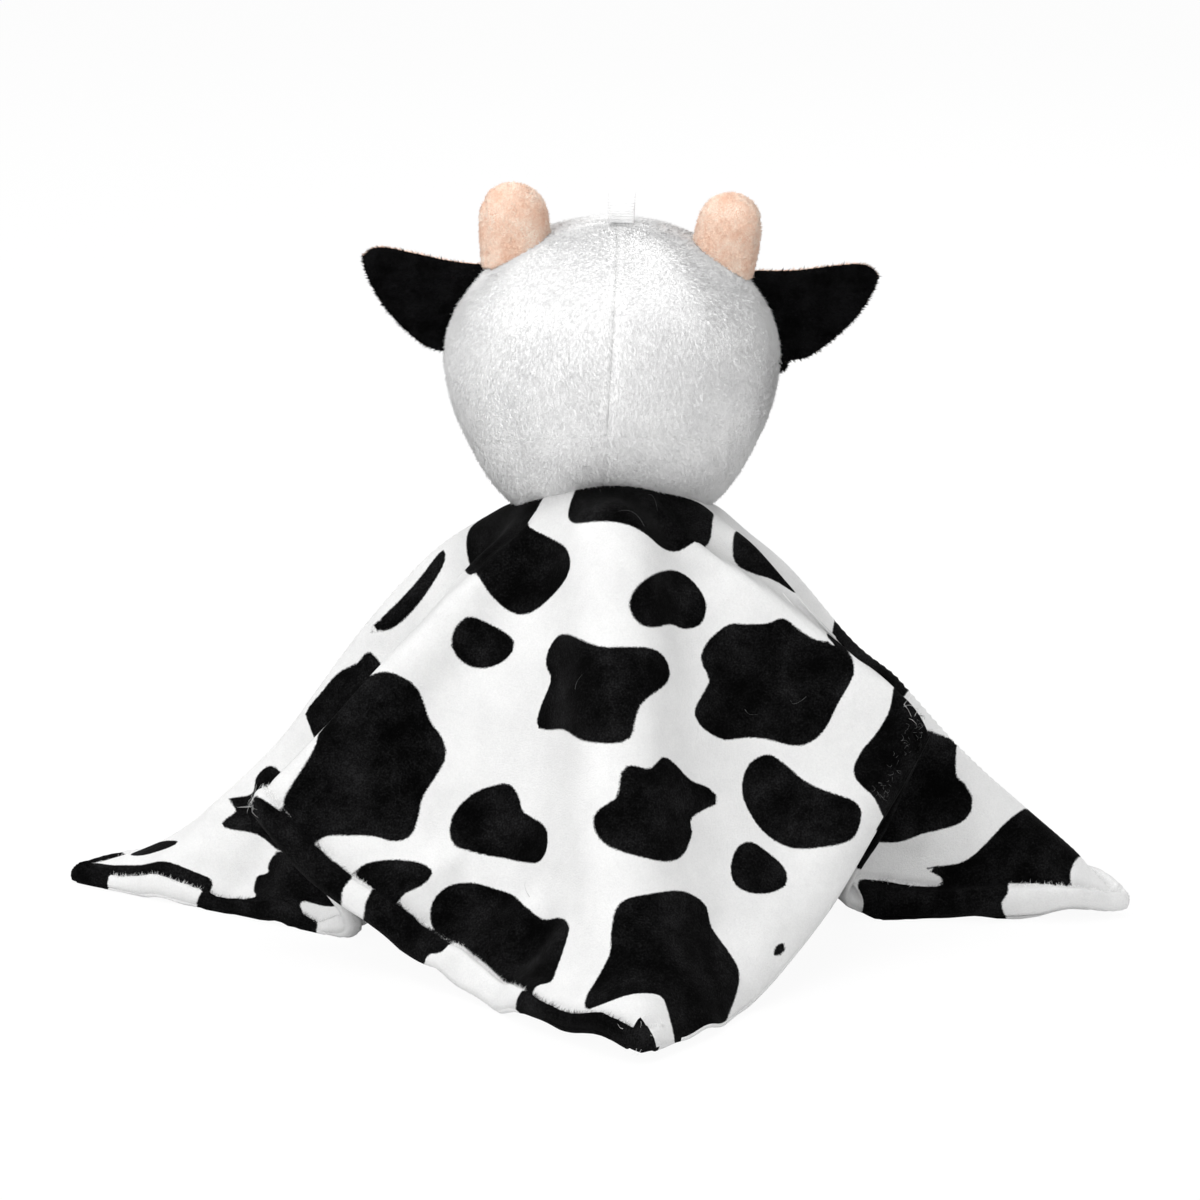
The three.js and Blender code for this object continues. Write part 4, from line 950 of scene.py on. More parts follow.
covers = {name: thicken(headSkin(name, planes), head["thickness"]) for name, planes in panels.items()}
print("head panels made")
covers["neckGather"] = thicken(headSkin("neckGather", gatherCover), head["thickness"])

# Pile: tufts scattered over a skin, combed and uneven.
pile = {
    "white": {"length": 1.7, "width": 0.29, "density": 9.8, "lean": 0.66, "jitter": 0.34,
              "uneven": (0.5, 1.1)},
    "black": {"length": 1.5, "width": 0.4, "density": 9.0, "lean": 0.5, "jitter": 0.5, "uneven": (0.5, 1.1)},
    "peach": {"length": 1.0, "width": 0.36, "density": 12.0, "lean": 0.35, "jitter": 0.75,
              "uneven": (0.4, 1.1)},
}


def buildTuft(name, values):
    form = bmesh.new()
    bmesh.ops.create_cone(form, segments=3, radius1=values["width"] / 2 * mm, radius2=0.0,
                          depth=values["length"] * mm, cap_ends=False)
    bmesh.ops.translate(form, verts=form.verts, vec=(0, 0, values["length"] * mm * 0.42))
    tuft = fromBmesh(name, form)
    bpy.context.collection.objects.unlink(tuft)
    return tuft


def addVectors(tree, operation, *inputs, **values):
    return addNode(tree, "ShaderNodeVectorMath", *inputs, operation=operation, **values).outputs[0]


def buildPileTree(name, values, seed):
    tree = bpy.data.node_groups.new(name, "GeometryNodeTree")
    for direction in ("INPUT", "OUTPUT"):
        tree.interface.new_socket("Geometry", in_out=direction, socket_type="NodeSocketGeometry")
    given, result = addNode(tree, "NodeGroupInput"), addNode(tree, "NodeGroupOutput")
    jitter, lean, uneven = values["jitter"], values["lean"], values["uneven"]
    scatter = addNode(tree, "GeometryNodeDistributePointsOnFaces", given.outputs[0],
                      distribute_method="RANDOM", Density=values["density"] * 1e6, Seed=seed).outputs
    comb = addNode(tree, "GeometryNodeInputNamedAttribute", data_type="FLOAT_VECTOR",
                   Name="comb").outputs["Attribute"]
    stray = addNode(tree, "FunctionNodeRandomValue", [-jitter] * 3, [jitter] * 3, data_type="FLOAT_VECTOR",
                    Seed=seed + 1).outputs[0]
    rise = addVectors(tree, "SCALE", scatter["Normal"], Scale=1 - lean)
    way = addVectors(tree, "ADD", rise, addVectors(tree, "SCALE", comb, Scale=lean))
    align = addNode(tree, "FunctionNodeAlignRotationToVector", axis="Z",
                    Vector=addVectors(tree, "ADD", way, stray))
    size = addNode(tree, "FunctionNodeRandomValue", data_type="FLOAT", Seed=seed + 2)
    size.inputs[2].default_value, size.inputs[3].default_value = uneven
    keep = addNode(tree, "GeometryNodeStoreNamedAttribute", data_type="FLOAT_VECTOR", domain="POINT",
                   Name="skin", Geometry=scatter["Points"], Value=scatter["Normal"])
    tuft = addNode(tree, "GeometryNodeObjectInfo", Object=values["tuft"])
    stand = addNode(tree, "GeometryNodeInstanceOnPoints", Points=keep.outputs[0],
                    Instance=tuft.outputs["Geometry"], Rotation=align.outputs[0], Scale=size.outputs[1])
    feed(tree, result.inputs[0], addNode(tree, "GeometryNodeRealizeInstances", stand.outputs[0]).outputs[0])
    return tree


for coat in pile:
    pile[coat]["tuft"] = buildTuft(f"{coat}Tuft", pile[coat])


def alongSkin(ways, normals):
    return ways - normals * np.sum(ways * normals, 1, keepdims=True)


def evenLength(ways):
    return ways / np.maximum(np.linalg.norm(ways, axis=1, keepdims=True), 0.2)


def combDown(points, normals, swirl=0.5, seed=1.0):
    # Pile that lies down the surface, in soft swirls
    down = np.tile((0.0, 0.0, -1.0), (len(points), 1))
    aside = np.cross(normals, down)
    turn = (lumps(points, 24.0, seed) * swirl * math.pi)[:, None]
    return evenLength(alongSkin(down, normals) * np.cos(turn) + aside * np.sin(turn))


def growPile(name, skin, coat, seed, material, comb=combDown, share=1.0):
    # A coat of tufts over the outside of a skin
    mesh = skin.data.copy()
    root = newPiece(name, mesh)
    addVector(mesh, "comb", comb(getPoints(mesh), getNormals(mesh)))
    values = dict(pile[coat], density=pile[coat]["density"] * share)
    grow = root.modifiers.new("pile", "NODES")
    grow.node_group = buildPileTree(f"{name} pile", values, seed)
    applyModifiers(root)
    root.data.materials.clear()
    root.data.materials.append(materials[material])
    print(name, len(root.data.polygons), "tuft faces")
    return root


def coatOver(name, skin, *coatValues, **values):
    # Pile on a skin that is then taken away
    coat = growPile(name, skin, *coatValues, **values)
    bpy.data.objects.remove(skin)
    return coat


coats = {}
for name, planes, seed, share in (*((name, panels[name], seed, share) for name, seed, share in head["coats"]),
                                  ("neckGather", gatherSkin, 6, 1.0)):
    skin = headSkin(f"{name}Skin", planes, 6)
    coats[name] = coatOver(f"{name}Pile", skin, "white", seed, "whitePile", share=share)
print("head pile grown")

# Loose fibres along the hem's seam, threads at its frayed ends and a few hairs of lint on the print.
# Threads: flat place, spread of the place, count, shortest and longest, material. Lint: flat place, length,
# direction, bend.
fuzz = {
    "coat": {"length": 1.9, "width": 0.16, "density": 7.0, "lean": 0.25, "jitter": 0.9, "uneven": (0.3, 1.0)},
    "reach": 1.5, "width": 0.1, "lintWidth": 0.09, "rings": 8,
    "threads": (
        ((-2, -145), (5, 2.0), 10, (1.2, 3), "greyThread"),
        ((-14, -145), (14, 2.0), 64, (0.8, 1.9), "greyThread"),
        ((-3, -141), (4, 3.5), 9, (2, 5), "whiteThread"), ((-148, -1), (1.5, 3), 22, (1.5, 5), "whiteThread"),
        ((-147, -146), (3, 3), 12, (1.5, 4), "whiteThread")),
    "lint": (((-27, -24), 7.0, 0.4, 0.2), ((-31, -40), 5.5, 1.9, -0.2), ((-18, -30), 6.5, 4.4, 0.25),
             ((-119, -78), 6.0, 0.8, 0.15), ((-38, -96), 4.0, 5.0, -0.3), ((-72, -60), 4.0, 0.2, 0.2),
             ((-24, -108), 4.5, 2.2, 0.3)),
}


topSurface = kdtree.KDTree(len(topFlat))
for index, place in enumerate(topFlat):
    topSurface.insert((*place, 0), index)
topSurface.balance()


def addStrand(form, places, width):
    # A thin three-sided thread through places in mm
    rings = []
    for index, place in enumerate(places):
        after, before = places[min(index + 1, len(places) - 1)], places[max(index - 1, 0)]
        along = (after - before).normalized()
        aside = along.orthogonal().normalized()
        other = along.cross(aside)
        radius = width / 2 * (1 - 0.75 * index / len(places))
        corners = [place + aside * radius * math.cos(turn) + other * radius * math.sin(turn)
                   for turn in (0, 2.1, 4.2)]
        rings.append([form.verts.new(corner * mm) for corner in corners])
    for near, far in zip(rings, rings[1:]):
        for corner in range(3):
            form.faces.new((near[corner], near[(corner + 1) % 3], far[(corner + 1) % 3], far[corner]))


def onTop(u, v):
    vert = blanketTop.data.vertices[topSurface.find((u, v, 0))[1]]
    return Vector(vert.co) / mm, Vector(vert.normal)


def loosePiece(name, form, material, slot):
    bmesh.ops.recalc_face_normals(form, faces=form.faces)
    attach(finish(fromBmesh(name, form), material, slot), "blanket")


def addSeamFuzz(values):
    form = bmesh.new()
    form.from_mesh(blanketTop.data)
    away = form.verts.layers.float["seamAway"]
    gone = [vert for vert in form.verts if abs(vert[away]) > values["reach"]]
    bmesh.ops.delete(form, geom=gone, context="VERTS")
    skin = fromBmesh("seamSkin", form)
    pile["fuzz"] = dict(values["coat"], tuft=buildTuft("fuzzTuft", values["coat"]))
    coat = coatOver("seamFuzz", skin, "fuzz", 81, "printFuzz")
    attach(coat, "blanket")


def arcThrough(a, b, c, steps):
    # Places along the curve that starts at a, passes b and ends at c
    bend = b * 2 - (a + c) / 2
    shares = [step / steps for step in range(steps + 1)]
    return [a * (1 - share) ** 2 + bend * 2 * share * (1 - share) + c * share ** 2 for share in shares]


def addThreads(values):
    dice = random.Random(83)
    forms = {"whiteThread": bmesh.new(), "greyThread": bmesh.new()}
    for middlePlace, spread, count, lengths, material in values["threads"]:
        for _ in range(count):
            u, v = (at + dice.uniform(-reach, reach) for at, reach in zip(middlePlace, spread))
            start, normal = onTop(u, v)
            length = dice.uniform(*lengths)
            along = Vector([dice.gauss(0, 1) for _ in range(3)])
            along = (along - normal * along.dot(normal) * 0.6).normalized()
            aside = along.cross(normal).normalized() * dice.uniform(-0.35, 0.35) * length
            end = start + (along + normal * dice.uniform(0.0, 0.35)) * length
            top = start + along * length / 2 + aside + normal * dice.uniform(0.3, 1.0)
            addStrand(forms[material], arcThrough(start, top, end, values["rings"]), values["width"])
    for (u, v), length, direction, bend in values["lint"]:
        x, y = math.cos(direction) * length, math.sin(direction) * length
        start, middlePoint, end = (onTop(u + x * share - y * off, v + y * share + x * off)
                                   for share, off in ((0, 0), (0.5, bend), (1, 0)))
        ends = zip((start, middlePoint, end), (0.4, 0.9, 0.4))
        places = [place + normal * rise for (place, normal), rise in ends]
        addStrand(forms["greyThread"], arcThrough(*places, values["rings"] * 2), values["lintWidth"])
    loosePiece("whiteThreads", forms["whiteThread"], "whiteThread", "white_ribbon")
    loosePiece("greyThreads", forms["greyThread"], "greyThread", "black_thread")


addSeamFuzz(fuzz)
addThreads(fuzz)
print("loose threads added")


def ringPoint(height):
    return tuple((ringMiddle + ringNormal * height + middle) * mm)


def blendWithHead(piece):
    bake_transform(piece, "neck_core", "head", start=ringPoint(head["neckSplit"]),
             end=ringPoint(head["neckSplit"] + head["neckBlend"]))


def blendWithNeck(piece):
    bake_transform(piece, "neck", "neck_core", start=ringPoint(head["neckFoot"]), end=ringPoint(head["neckSplit"]))


for name, node, blend in (("headBackLeft", "head_back_left", blendWithHead),
                          ("headBackRight", "head_back_right", blendWithHead),
                          ("headFace", "head_face", blendWithHead),
                          ("neckGather", "neck_gather", blendWithNeck)):
    finish(covers[name], "whitePlush", "white_plush", node)
    for piece in (covers[name], coats[name]):
        blend(piece)

# Stuffing of the head and the neck
stuffing = {"inset": -3.4, "brim": 16.0, "knobs": 0.006, "neckRadius": 8.5, "neckLift": 11.55}


def addStuffing(values):
    form = headForm(head, values["inset"], 5)
    cutAway(form, inRing(values["brim"]), -ringUp, fill=True)
    filling = fromBmesh("headStuffing", form)
    points = getPoints(filling.data)
    standAt(filling, points * (1 + values["knobs"] * lumps(points * mm, 8.0, 6.0)[:, None]))
    finish(filling, "fibreFill", "polyester_fill", "head_stuffing")
    blendWithHead(filling)
    form = bmesh.new()
    bmesh.ops.create_icosphere(form, subdivisions=4, radius=values["neckRadius"] * mm)
    core = fromBmesh("neckStuffing", form)
    at = ringMiddle + ringNormal * values["neckLift"] + middle
    setPoints(core.data, getPoints(core.data) + at * mm)
    finish(core, "fibreFill", "polyester_fill", "neck_stuffing")
    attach(core, "neck_core")


addStuffing(stuffing)

# Horns. Places: side, share of the head's half width, lean. Seams: how far out they stand, and their lean.
horn = {
    "length": 16.7, "root": 7.0, "width": 20.2, "depth": 16.5, "blunt": 2.5, "forward": -5.0, "skin": -0.5,
    "rings": 60, "sides": 84, "sink": -2.4, "seamDepth": 0.45, "seamWidth": 0.6, "slim": 0.94, "taper": 0.03,
    "heart": 8.0, "stuffing": -2.4, "stuffingSink": 0.4, "knobs": ((7.0, 12.0, 0.25), (1.5, 14.0, 0.16)),
    "places": {"left": (-1, 0.549, 5.0), "right": (1, 0.642, 11.0)},
    "seams": {-1: (8.2, 0.05), 1: (8.4, 0.03)},
}


def crownPoint(x, y):
    flat = (x / (head["width"] / 2)) ** 2 + (y / (head["depth"] / 2)) ** 2
    return Vector((x, y, head["level"] + head["upper"] * math.sqrt(1 - flat)))


def crownNormal(point):
    return Vector((point.x / (head["width"] / 2) ** 2, point.y / (head["depth"] / 2) ** 2,
                   (point.z - head["level"]) / head["upper"] ** 2)).normalized()


def ballForm(sides, rings):
    # A ball of radius 1, made ring by ring, so that its points have the same order in each run
    form = bmesh.new()
    rows = []
    for ring in range(1, rings):
        down, flat = math.cos(math.pi * ring / rings), math.sin(math.pi * ring / rings)
        turns = [2 * math.pi * side / sides for side in range(sides)]
        rows.append([form.verts.new((flat * math.cos(turn), flat * math.sin(turn), down)) for turn in turns])
    top, bottom = form.verts.new((0, 0, 1)), form.verts.new((0, 0, -1))
    for side in range(sides):
        after = (side + 1) % sides
        form.faces.new((top, rows[0][side], rows[0][after]))
        for near, far in zip(rows, rows[1:]):
            form.faces.new((near[side], far[side], far[after], near[after]))
        form.faces.new((bottom, rows[-1][after], rows[-1][side]))
    return form


def hornForm(values, grow, side):
    # A thumb of cloth standing on its seat, points in mm about the neck's middle
    form = ballForm(values["sides"], values["rings"])
    rise = values["length"] + values["root"]
    seamAt, seamLean = values["seams"][side]
    for vert in form.verts:
        x, y, z = vert.co
        width = math.sqrt(1 - min(max(z, 0), 1) ** values["blunt"]) * (1 - values["taper"] * z)
        width *= (values["slim"] if side > 0 else 1.0) / max(math.hypot(x, y), 1e-6)
        vert.co = Vector((x * width * (values["width"] / 2 + grow), y * width * (values["depth"] / 2 + grow),
                          z * (rise / 2 + grow) + rise / 2 - values["root"]))
        seamAway = abs(vert.co.x - side * (seamAt - seamLean * vert.co.z))
        inward = Vector((vert.co.x, vert.co.y, (vert.co.z - values["heart"]) * 0.8)).normalized()
        vert.co -= inward * values["seamDepth"] * math.exp(-(seamAway / values["seamWidth"]) ** 2)
    return form


def addHorn(label, values):
    side, outShare, leanDegrees = values["places"][label]
    seat = crownPoint(side * outShare * head["width"] / 2, values["forward"])
    turn = Matrix.Translation(seat) @ Matrix.Rotation(side * math.radians(leanDegrees), 4, "Y")
    made = []
    for name, grow, sink in ((f"horn{label.title()}", values["skin"], values["sink"]),
                             (f"horn{label.title()}Stuffing", values["stuffing"], values["stuffingSink"])):
        form = hornForm(values, grow, side)
        bmesh.ops.transform(form, matrix=turn, verts=form.verts)
        normal = crownNormal(seat)
        cutAway(form, seat + normal * sink, -normal, fill=True)
        bmesh.ops.triangulate(form, faces=[face for face in form.faces if len(face.verts) > 4])
        piece = fromBmesh(name, form)
        points = getPoints(piece.data)
        knobs = sum(lumps(points * mm, size, seed + side) * height for size, seed, height in values["knobs"])
        made.append(standAt(piece, points + getNormals(piece.data) * knobs[:, None]))
    cover, filling = made
    coat = growPile(f"{cover.name}Pile", cover, "peach", 20 + side, "peachPile",
                    lambda points, normals: combDown(points, normals, 0.9, 4.0 + side))
    finish(cover, "peachMinky", "peach_minky", f"horn_{label}_cover")
    finish(filling, "fibreFill", "polyester_fill", f"horn_{label}_stuffing")
    rideAll((cover, filling, coat), f"horn_{label}")


for label in horn["places"]:
    addHorn(label, horn)
print("horns made")

# Ears: outlines from the base line to the tip, as shares of the length and of half the base. An ear's places:
# side, share of the head's upper half, angle, sink.
ear = {
    "length": 32.0, "base": 27.6, "root": 5.0, "swell": 2.7, "edge": 0.35, "gap": 0.12, "flatRoot": 0.55,
    "steps": 44, "bands": 36, "thickness": 0.9, "inHead": 5.5, "bend": 0.5, "bendLength": 14.0,
    "comb": (1, 0, -0.5),
    "upper": ((0, 1), (0.28, 0.77), (0.57, 0.61), (0.81, 0.48), (0.94, 0.34), (1, 0.09)),
    "lower": ((0, -1), (0.17, -1.05), (0.4, -0.91), (0.67, -0.62), (0.87, -0.27), (1, 0.09)),
    "places": {"left": (-1, 0.3425, 25.5, 4.5), "right": (1, 0.285, 19.3, 2.0)},
    "faces": (("Back", -1, "black", "blackPlush", "black_plush"),
              ("Front", 1, "peach", "peachMinky", "peach_minky")),
}


def splineAt(points, share):
    # Catmull-Rom curve through points, at a share of its count of spans
    spans = len(points) - 1
    at = min(int(share * spans), spans - 1)
    weight = share * spans - at
    a, b, c, d = (np.array(points[min(max(at + step, 0), spans)], float) for step in (-1, 0, 1, 2))
    return hermite(b, (c - a) / 2, c, (d - b) / 2, weight)


def earSkin(values, facing):
    # One panel's outside: a grid drawn between the ear's two edges and swollen between them
    form = bmesh.new()
    bmesh.ops.create_grid(form, x_segments=values["steps"], y_segments=values["bands"], size=0.5)
    reach, root, flatRoot = values["length"], values["root"], values["flatRoot"]
    for vert in form.verts:
        share, across = vert.co.x + 0.5, vert.co.y + 0.5
        along = max(0.0, (share * (1 + root / reach)) - root / reach)
        behind = min(0.0, share * (reach + root) - root)
        high, low = splineAt(values["upper"], along), splineAt(values["lower"], along)
        middlePoint = (low + (high - low) * across) * (reach, values["base"] / 2)
        swell = math.sqrt(max(0.0, 4 * across * (1 - across)) * (1 - along ** 4))
        swell *= flatRoot + (1 - flatRoot) * min(along * 4, 1)
        height = values["edge"] + (values["swell"] - values["edge"]) * swell
        vert.co = Vector((middlePoint[0] + behind, facing * (values["gap"] + height), middlePoint[1]))
    bmesh.ops.remove_doubles(form, verts=form.verts, dist=0.02)
    return form


def earFrame(side, riseShare, angle, sink):
    bulge = head["width"] / 2 * math.sqrt(1 - riseShare ** 2)
    base = Vector((side * (bulge - sink), head["sideSeam"], head["level"] + riseShare * head["upper"]))
    turn = Matrix.Rotation(-side * math.radians(angle), 4, "Y")
    return Matrix.Translation(base) @ turn @ Matrix.Rotation(0 if side > 0 else math.pi, 4, "Z")


def headShare(point, inset, tall):
    # Below 1 inside the head's form, drawn in by an inset
    return (point.x / (head["width"] / 2 - inset)) ** 2 + (point.y / (head["depth"] / 2 - inset)) ** 2 \
        + ((point.z - head["level"]) / (tall - inset)) ** 2


def addEar(label, values):
    side = values["places"][label][0]
    place = earFrame(*values["places"][label])
    outward = np.array(place.to_3x3() @ Vector(values["comb"]))
    for face, facing, coatName, finishName, slotName in values["faces"]:
        form = earSkin(values, facing * side)
        bmesh.ops.transform(form, matrix=place, verts=form.verts)
        gone = [vert for vert in form.verts if headShare(vert.co, values["inHead"], head["upper"]) < 1]
        bmesh.ops.delete(form, geom=gone, context="VERTS")
        bmesh.ops.recalc_face_normals(form, faces=form.faces)
        piece = fromBmesh(f"ear{label.title()}{face}", form)
        faceSide(piece, 1, facing)
        points = getPoints(piece.data)
        points[:, 1] += lumps(points * mm, values["bendLength"], 9.0 + side) * values["bend"]
        standAt(piece, points)
        coat = growPile(f"{piece.name}Pile", piece, coatName, 40 + 3 * side + facing, f"{coatName}Pile",
                        lambda points, normals: evenLength(alongSkin(outward[None], normals)))
        finish(thicken(piece, values["thickness"]), finishName, slotName, f"ear_{label}_{face.lower()}")
        rideAll((piece, coat), f"ear_{label}")


for label in ear["places"]:
    addEar(label, ear)
print("ears made")

# Hanging loop: ribbed ribbon folded front to back
loop = {"width": 7.5, "thickness": 0.55, "height": 6.7, "depth": 5.2, "offset": 2.6, "lean": 2.0,
        "steps": 90, "across": 10, "rib": 0.85, "ribDepth": 0.13, "selvedge": 0.5, "selvedgeShare": 0.4,
        "spread": 0.8, "sink": 1.4}


def ribbonForm(values):
    # The ribbon's middle, from its foot over the fold and back, in rows across it
    form = bmesh.new()
    rows = []
    for step in range(values["steps"] + 1):
        turn = math.radians(-90 + 360 * step / values["steps"])
        spread = math.sin(math.radians(180 * step / values["steps"])) ** values["spread"]
        at = Vector((0, math.cos(turn) * values["depth"] / 2 * spread,
                     (1 + math.sin(turn)) / 2 * (values["height"] + values["sink"])))
        bands = [(band / values["across"] - 0.5) * values["width"] for band in range(values["across"] + 1)]
        rows.append([form.verts.new((x, at.y, at.z - values["sink"])) for x in bands])
    for near, far in zip(rows, rows[1:]):
        for band in range(values["across"]):
            form.faces.new((near[band], near[band + 1], far[band + 1], far[band]))
    lengthways = [edge for edge in form.edges if abs(edge.verts[0].co.x - edge.verts[1].co.x) < 1e-6]
    bmesh.ops.subdivide_edges(form, edges=lengthways, cuts=2, use_grid_fill=False)
    bmesh.ops.recalc_face_normals(form, faces=form.faces)
    return form


def addLoop(values):
    piece = fromBmesh("hangingLoop", ribbonForm(values))
    points, normals = getPoints(piece.data), getNormals(piece.data)
    height, depth = values["height"], values["depth"]
    travelled = np.arctan2(points[:, 1] / depth * 2, points[:, 2] / height * 2 - 1) * (height + depth) / 4
    ribs = np.cos(2 * math.pi * travelled / values["rib"]) * values["ribDepth"]
    inSelvedge = np.abs(points[:, 0]) > values["width"] / 2 - values["selvedge"]
    ribs = np.where(inSelvedge, values["ribDepth"] * values["selvedgeShare"], ribs)
    turn = Matrix.Rotation(math.radians(values["lean"]), 3, "Y")
    seat = crownPoint(values["offset"], head["sideSeam"])
    standAt(piece, (points + normals * ribs[:, None]) @ np.array(turn).T + np.array(seat))
    finish(thicken(piece, values["thickness"], 0.0), "ribbon", "white_ribbon", "hanging_loop")
    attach(piece, "loop")


addLoop(loop)
print("loop made")

# Face. Sizes are across and up, and a part's skin is how far it stands off the form below it.
face = {
    "muzzle": (56.0, 36.0, 33.0), "muzzleForward": 0.79, "muzzleDrop": 0.36, "muzzleSkin": -0.5,
    "stuffingSkin": -2.4, "creaseFade": 12.0, "creaseAbove": 0.4,
    "crease": 0.9, "creaseWidth": 1.6, "eye": (8.4, 10.6), "eyeSpacing": 0.37, "eyeRise": 4.0,
    "patch": (44.0, 33.0), "patchCentre": 0.58, "patchRise": 1.5, "patchLean": -14.0, "glint": (2.2, 2.6),
    "glintAside": -1.3, "glintRise": 2.2, "glintLift": 0.75, "nostril": (5.4, 3.8), "nostrilSpacing": 21.0,
    "nostrilRise": 5.0, "eyes": (("left", -1, 1.4), ("right", 1, 2.2)),
}
muzzleMiddle = Vector((0, face["muzzleForward"] * head["depth"] / 2,
                       head["level"] - face["muzzleDrop"] * head["lower"]))


def muzzleForm(grow, fineness):
    form = bmesh.new()
    bmesh.ops.create_icosphere(form, subdivisions=fineness, radius=1.0)
    sizes = [size / 2 + grow for size in face["muzzle"]]
    for vert in form.verts:
        vert.co = Vector(vert.co[axis] * sizes[axis] for axis in range(3)) + muzzleMiddle
    hidden = [vert for vert in form.verts if headShare(vert.co, 1.0, tallAt(vert.co.z)) < 1]
    bmesh.ops.delete(form, geom=hidden, context="VERTS")
    return form


def tallAt(height):
    return head["lower"] if height < head["level"] else head["upper"]


def addMuzzle(values):
    cover = fromBmesh("muzzleCover", muzzleForm(values["muzzleSkin"], 6))
    points = getPoints(cover.data)
    crease = np.exp(-(points[:, 0] / values["creaseWidth"]) ** 2)
    crease *= np.clip((muzzleMiddle.z - points[:, 2]) / values["creaseFade"] + values["creaseAbove"], 0, 1)
    standAt(cover, points - getNormals(cover.data) * (crease * values["crease"])[:, None])
    coat = growPile("muzzlePile", cover, "peach", 61, "peachPile",
                    lambda points, normals: combDown(points, normals, 0.5, 7.0), 0.6)
    thicken(cover, 1.2)
    filling = fromBmesh("muzzleStuffing", muzzleForm(values["stuffingSkin"], 5))
    thicken(standAt(filling, getPoints(filling.data)), 4.0)
    finish(cover, "peachMinky", "peach_minky", "muzzle_cover")
    finish(filling, "fibreFill", "polyester_fill", "muzzle_stuffing")
    rideAll((cover, coat, filling), "head")


addMuzzle(face)


def onHead(x, z, grow):
    # The place on the face's surface in front of x and z
    flat = (x / (head["width"] / 2 + grow)) ** 2 + ((z - head["level"]) / (tallAt(z) + grow)) ** 2
    return (head["depth"] / 2 + grow) * math.sqrt(max(0.0, 1 - flat))


def onMuzzle(x, z, grow):
    sizes = [size / 2 + grow for size in face["muzzle"]]
    flat = (x / sizes[0]) ** 2 + ((z - muzzleMiddle.z) / sizes[2]) ** 2
    return muzzleMiddle.y + sizes[1] * math.sqrt(max(0.0, 1 - flat))


def faceDisc(name, centre, size, surface, grow, steps, dome, leanDegrees=0):
    # An oval that lies on the face, a little domed
    form = bmesh.new()
    bmesh.ops.create_grid(form, x_segments=steps, y_segments=steps, size=1.0)
    turn = math.radians(leanDegrees)
    for vert in form.verts:
        across = vert.co.x * math.sqrt(1 - vert.co.y ** 2 / 2)
        along = vert.co.y * math.sqrt(1 - vert.co.x ** 2 / 2)
        away = min(1.0, math.hypot(across, along))
        x, z = np.array(centre) + turnFlat(across * size[0] / 2, along * size[1] / 2, turn)
        vert.co = Vector((x, surface(x, z, grow + dome * (1 - away ** 4)), z))
    bmesh.ops.recalc_face_normals(form, faces=form.faces)
    piece = fromBmesh(name, form)
    faceSide(piece, 1, 1)
    return standAt(piece, getPoints(piece.data))


def addPatch(values):
    at = (values["patchCentre"] * head["width"] / 2, head["level"] + values["patchRise"])
    patch = faceDisc("eyePatch", at, values["patch"], onHead, 0.3, 36, 0.3, values["patchLean"])
    standAt(patch, sinkSeams(getPoints(patch.data) / mm - middle, head))
    coat = growPile("eyePatchPile", patch, "black", 71, "blackPile")
    finish(thicken(patch, 0.9), "blackPlush", "black_plush", "eye_patch")
    return [patch, coat]


def addDetail(disc, thickness, *finishValues):
    return finish(thicken(faceDisc(*disc), thickness), *finishValues)


def addEye(values, label, side, lift):
    x, z = side * values["eyeSpacing"] * head["width"] / 2, head["level"] + values["eyeRise"]
    glintAt = (x + values["glintAside"], z + values["glintRise"])
    nostrilAt = (side * values["nostrilSpacing"] / 2, muzzleMiddle.z + values["nostrilRise"])
    glintLift, title = lift + values["glintLift"], label.title()
    return [
        addDetail((f"eye{title}", (x, z), values["eye"], onHead, lift, 14, 0.7), 1.6,
                  "blackThread", "black_thread", f"eye_{label}"),
        # Painted highlight: a small white disc on each eye stands for the glint of light on the black stitching
        addDetail((f"eye{title}Glint", glintAt, values["glint"], onHead, glintLift, 7, 0.15), 0.4,
                  "whiteThread", "white_ribbon"),
        addDetail((f"nostril{title}", nostrilAt, values["nostril"], onMuzzle, 0.4, 12, 0.5), 1.2,
                  "roseThread", "rose_thread", f"nostril_{label}"),
    ]


rideAll(addPatch(face), "head")
for eyeValues in face["eyes"]:
    rideAll(addEye(face, *eyeValues), "head")
print("face made")


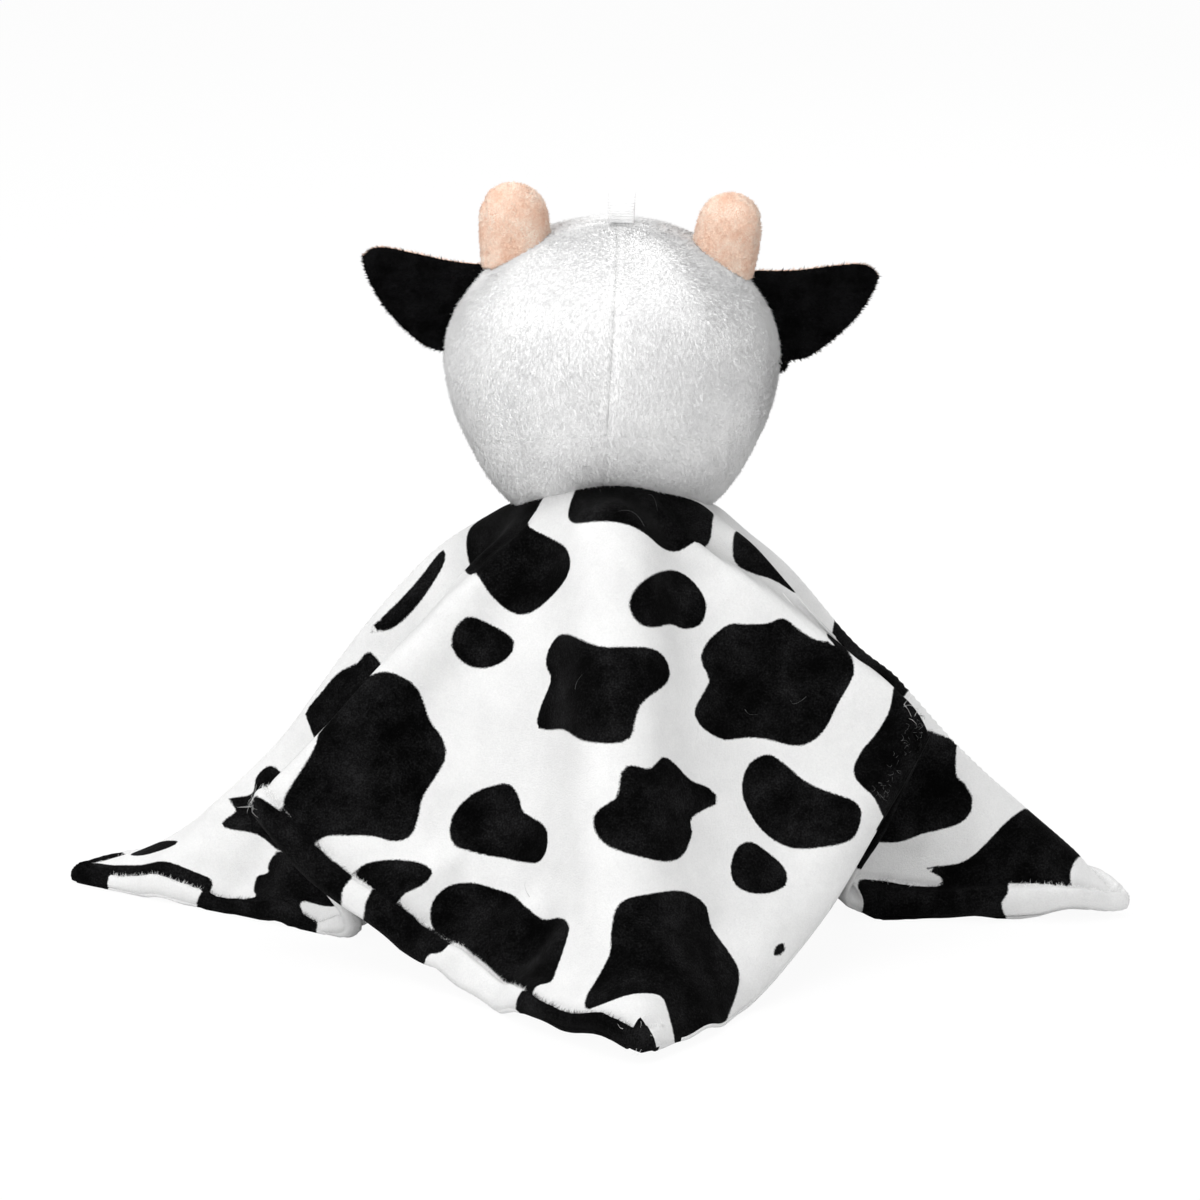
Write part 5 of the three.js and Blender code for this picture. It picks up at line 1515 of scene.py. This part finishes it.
# Studio
studio = {
    "floor": (0.9, 0.9, 0.9, 1), "floorSize": 6.0, "floorWhite": 0.94, "sky": 0.62, "aim": (0, 0, 0.08),
    "lamps": (("keyLamp", (-0.95, -0.75, 0.95), 0.6, 5.2), ("topLamp", (-0.1, -0.3, 1.5), 1.0, 13.8),
              ("frontLamp", (-0.5, -1.4, 0.35), 1.0, 4.6), ("backLamp", (0.3, 1.2, 1.0), 0.8, 6.5)),
}


def whiteShare(tree):
    # 1 where the eye, a reflection or clear stuff meets the background
    path = addNode(tree, "ShaderNodeLightPath").outputs
    eye = addMath(tree, "MAXIMUM", path["Is Camera Ray"], path["Is Glossy Ray"])
    return addMath(tree, "MAXIMUM", eye, path["Is Transmission Ray"])


def addFloor(values):
    form = bmesh.new()
    bmesh.ops.create_grid(form, x_segments=1, y_segments=1, size=values["floorSize"])
    floor = fromBmesh("floor", form, smooth=False)
    material, tree, shader = newMaterial("paper floor", sheen=0.0, sheenRoughness=0.5, specular=0.0)
    shader.inputs["Base Color"].default_value = values["floor"]
    glow = addNode(tree, "ShaderNodeEmission", (1, 1, 1, 1), 1.0)
    showShader(tree, addMath(tree, "MULTIPLY", whiteShare(tree), values["floorWhite"]), shader, glow)
    floor.data.materials.append(material)


def addSky(values):
    world = bpy.data.worlds.new("studio")
    world.use_nodes = True
    tree = world.node_tree
    strength = addNode(tree, "ShaderNodeMapRange", Value=whiteShare(tree), To_Min=values["sky"], To_Max=1.0)
    sky = tree.nodes["Background"]
    sky.inputs["Color"].default_value = (1, 1, 1, 1)
    feed(tree, sky.inputs["Strength"], strength.outputs["Result"])
    bpy.context.scene.world = world


def addLamp(name, at, size, power):
    data = bpy.data.lights.new(name, "AREA")
    data.shape, data.size, data.energy = "SQUARE", size, power
    lamp = newPiece(name, data)
    lamp.location = at
    lamp.rotation_euler = (Vector(studio["aim"]) - Vector(at)).to_track_quat("-Z", "Y").to_euler()


addFloor(studio)
addSky(studio)
for lampValues in studio["lamps"]:
    addLamp(*lampValues)
bpy.context.scene.view_settings.view_transform = "Standard"
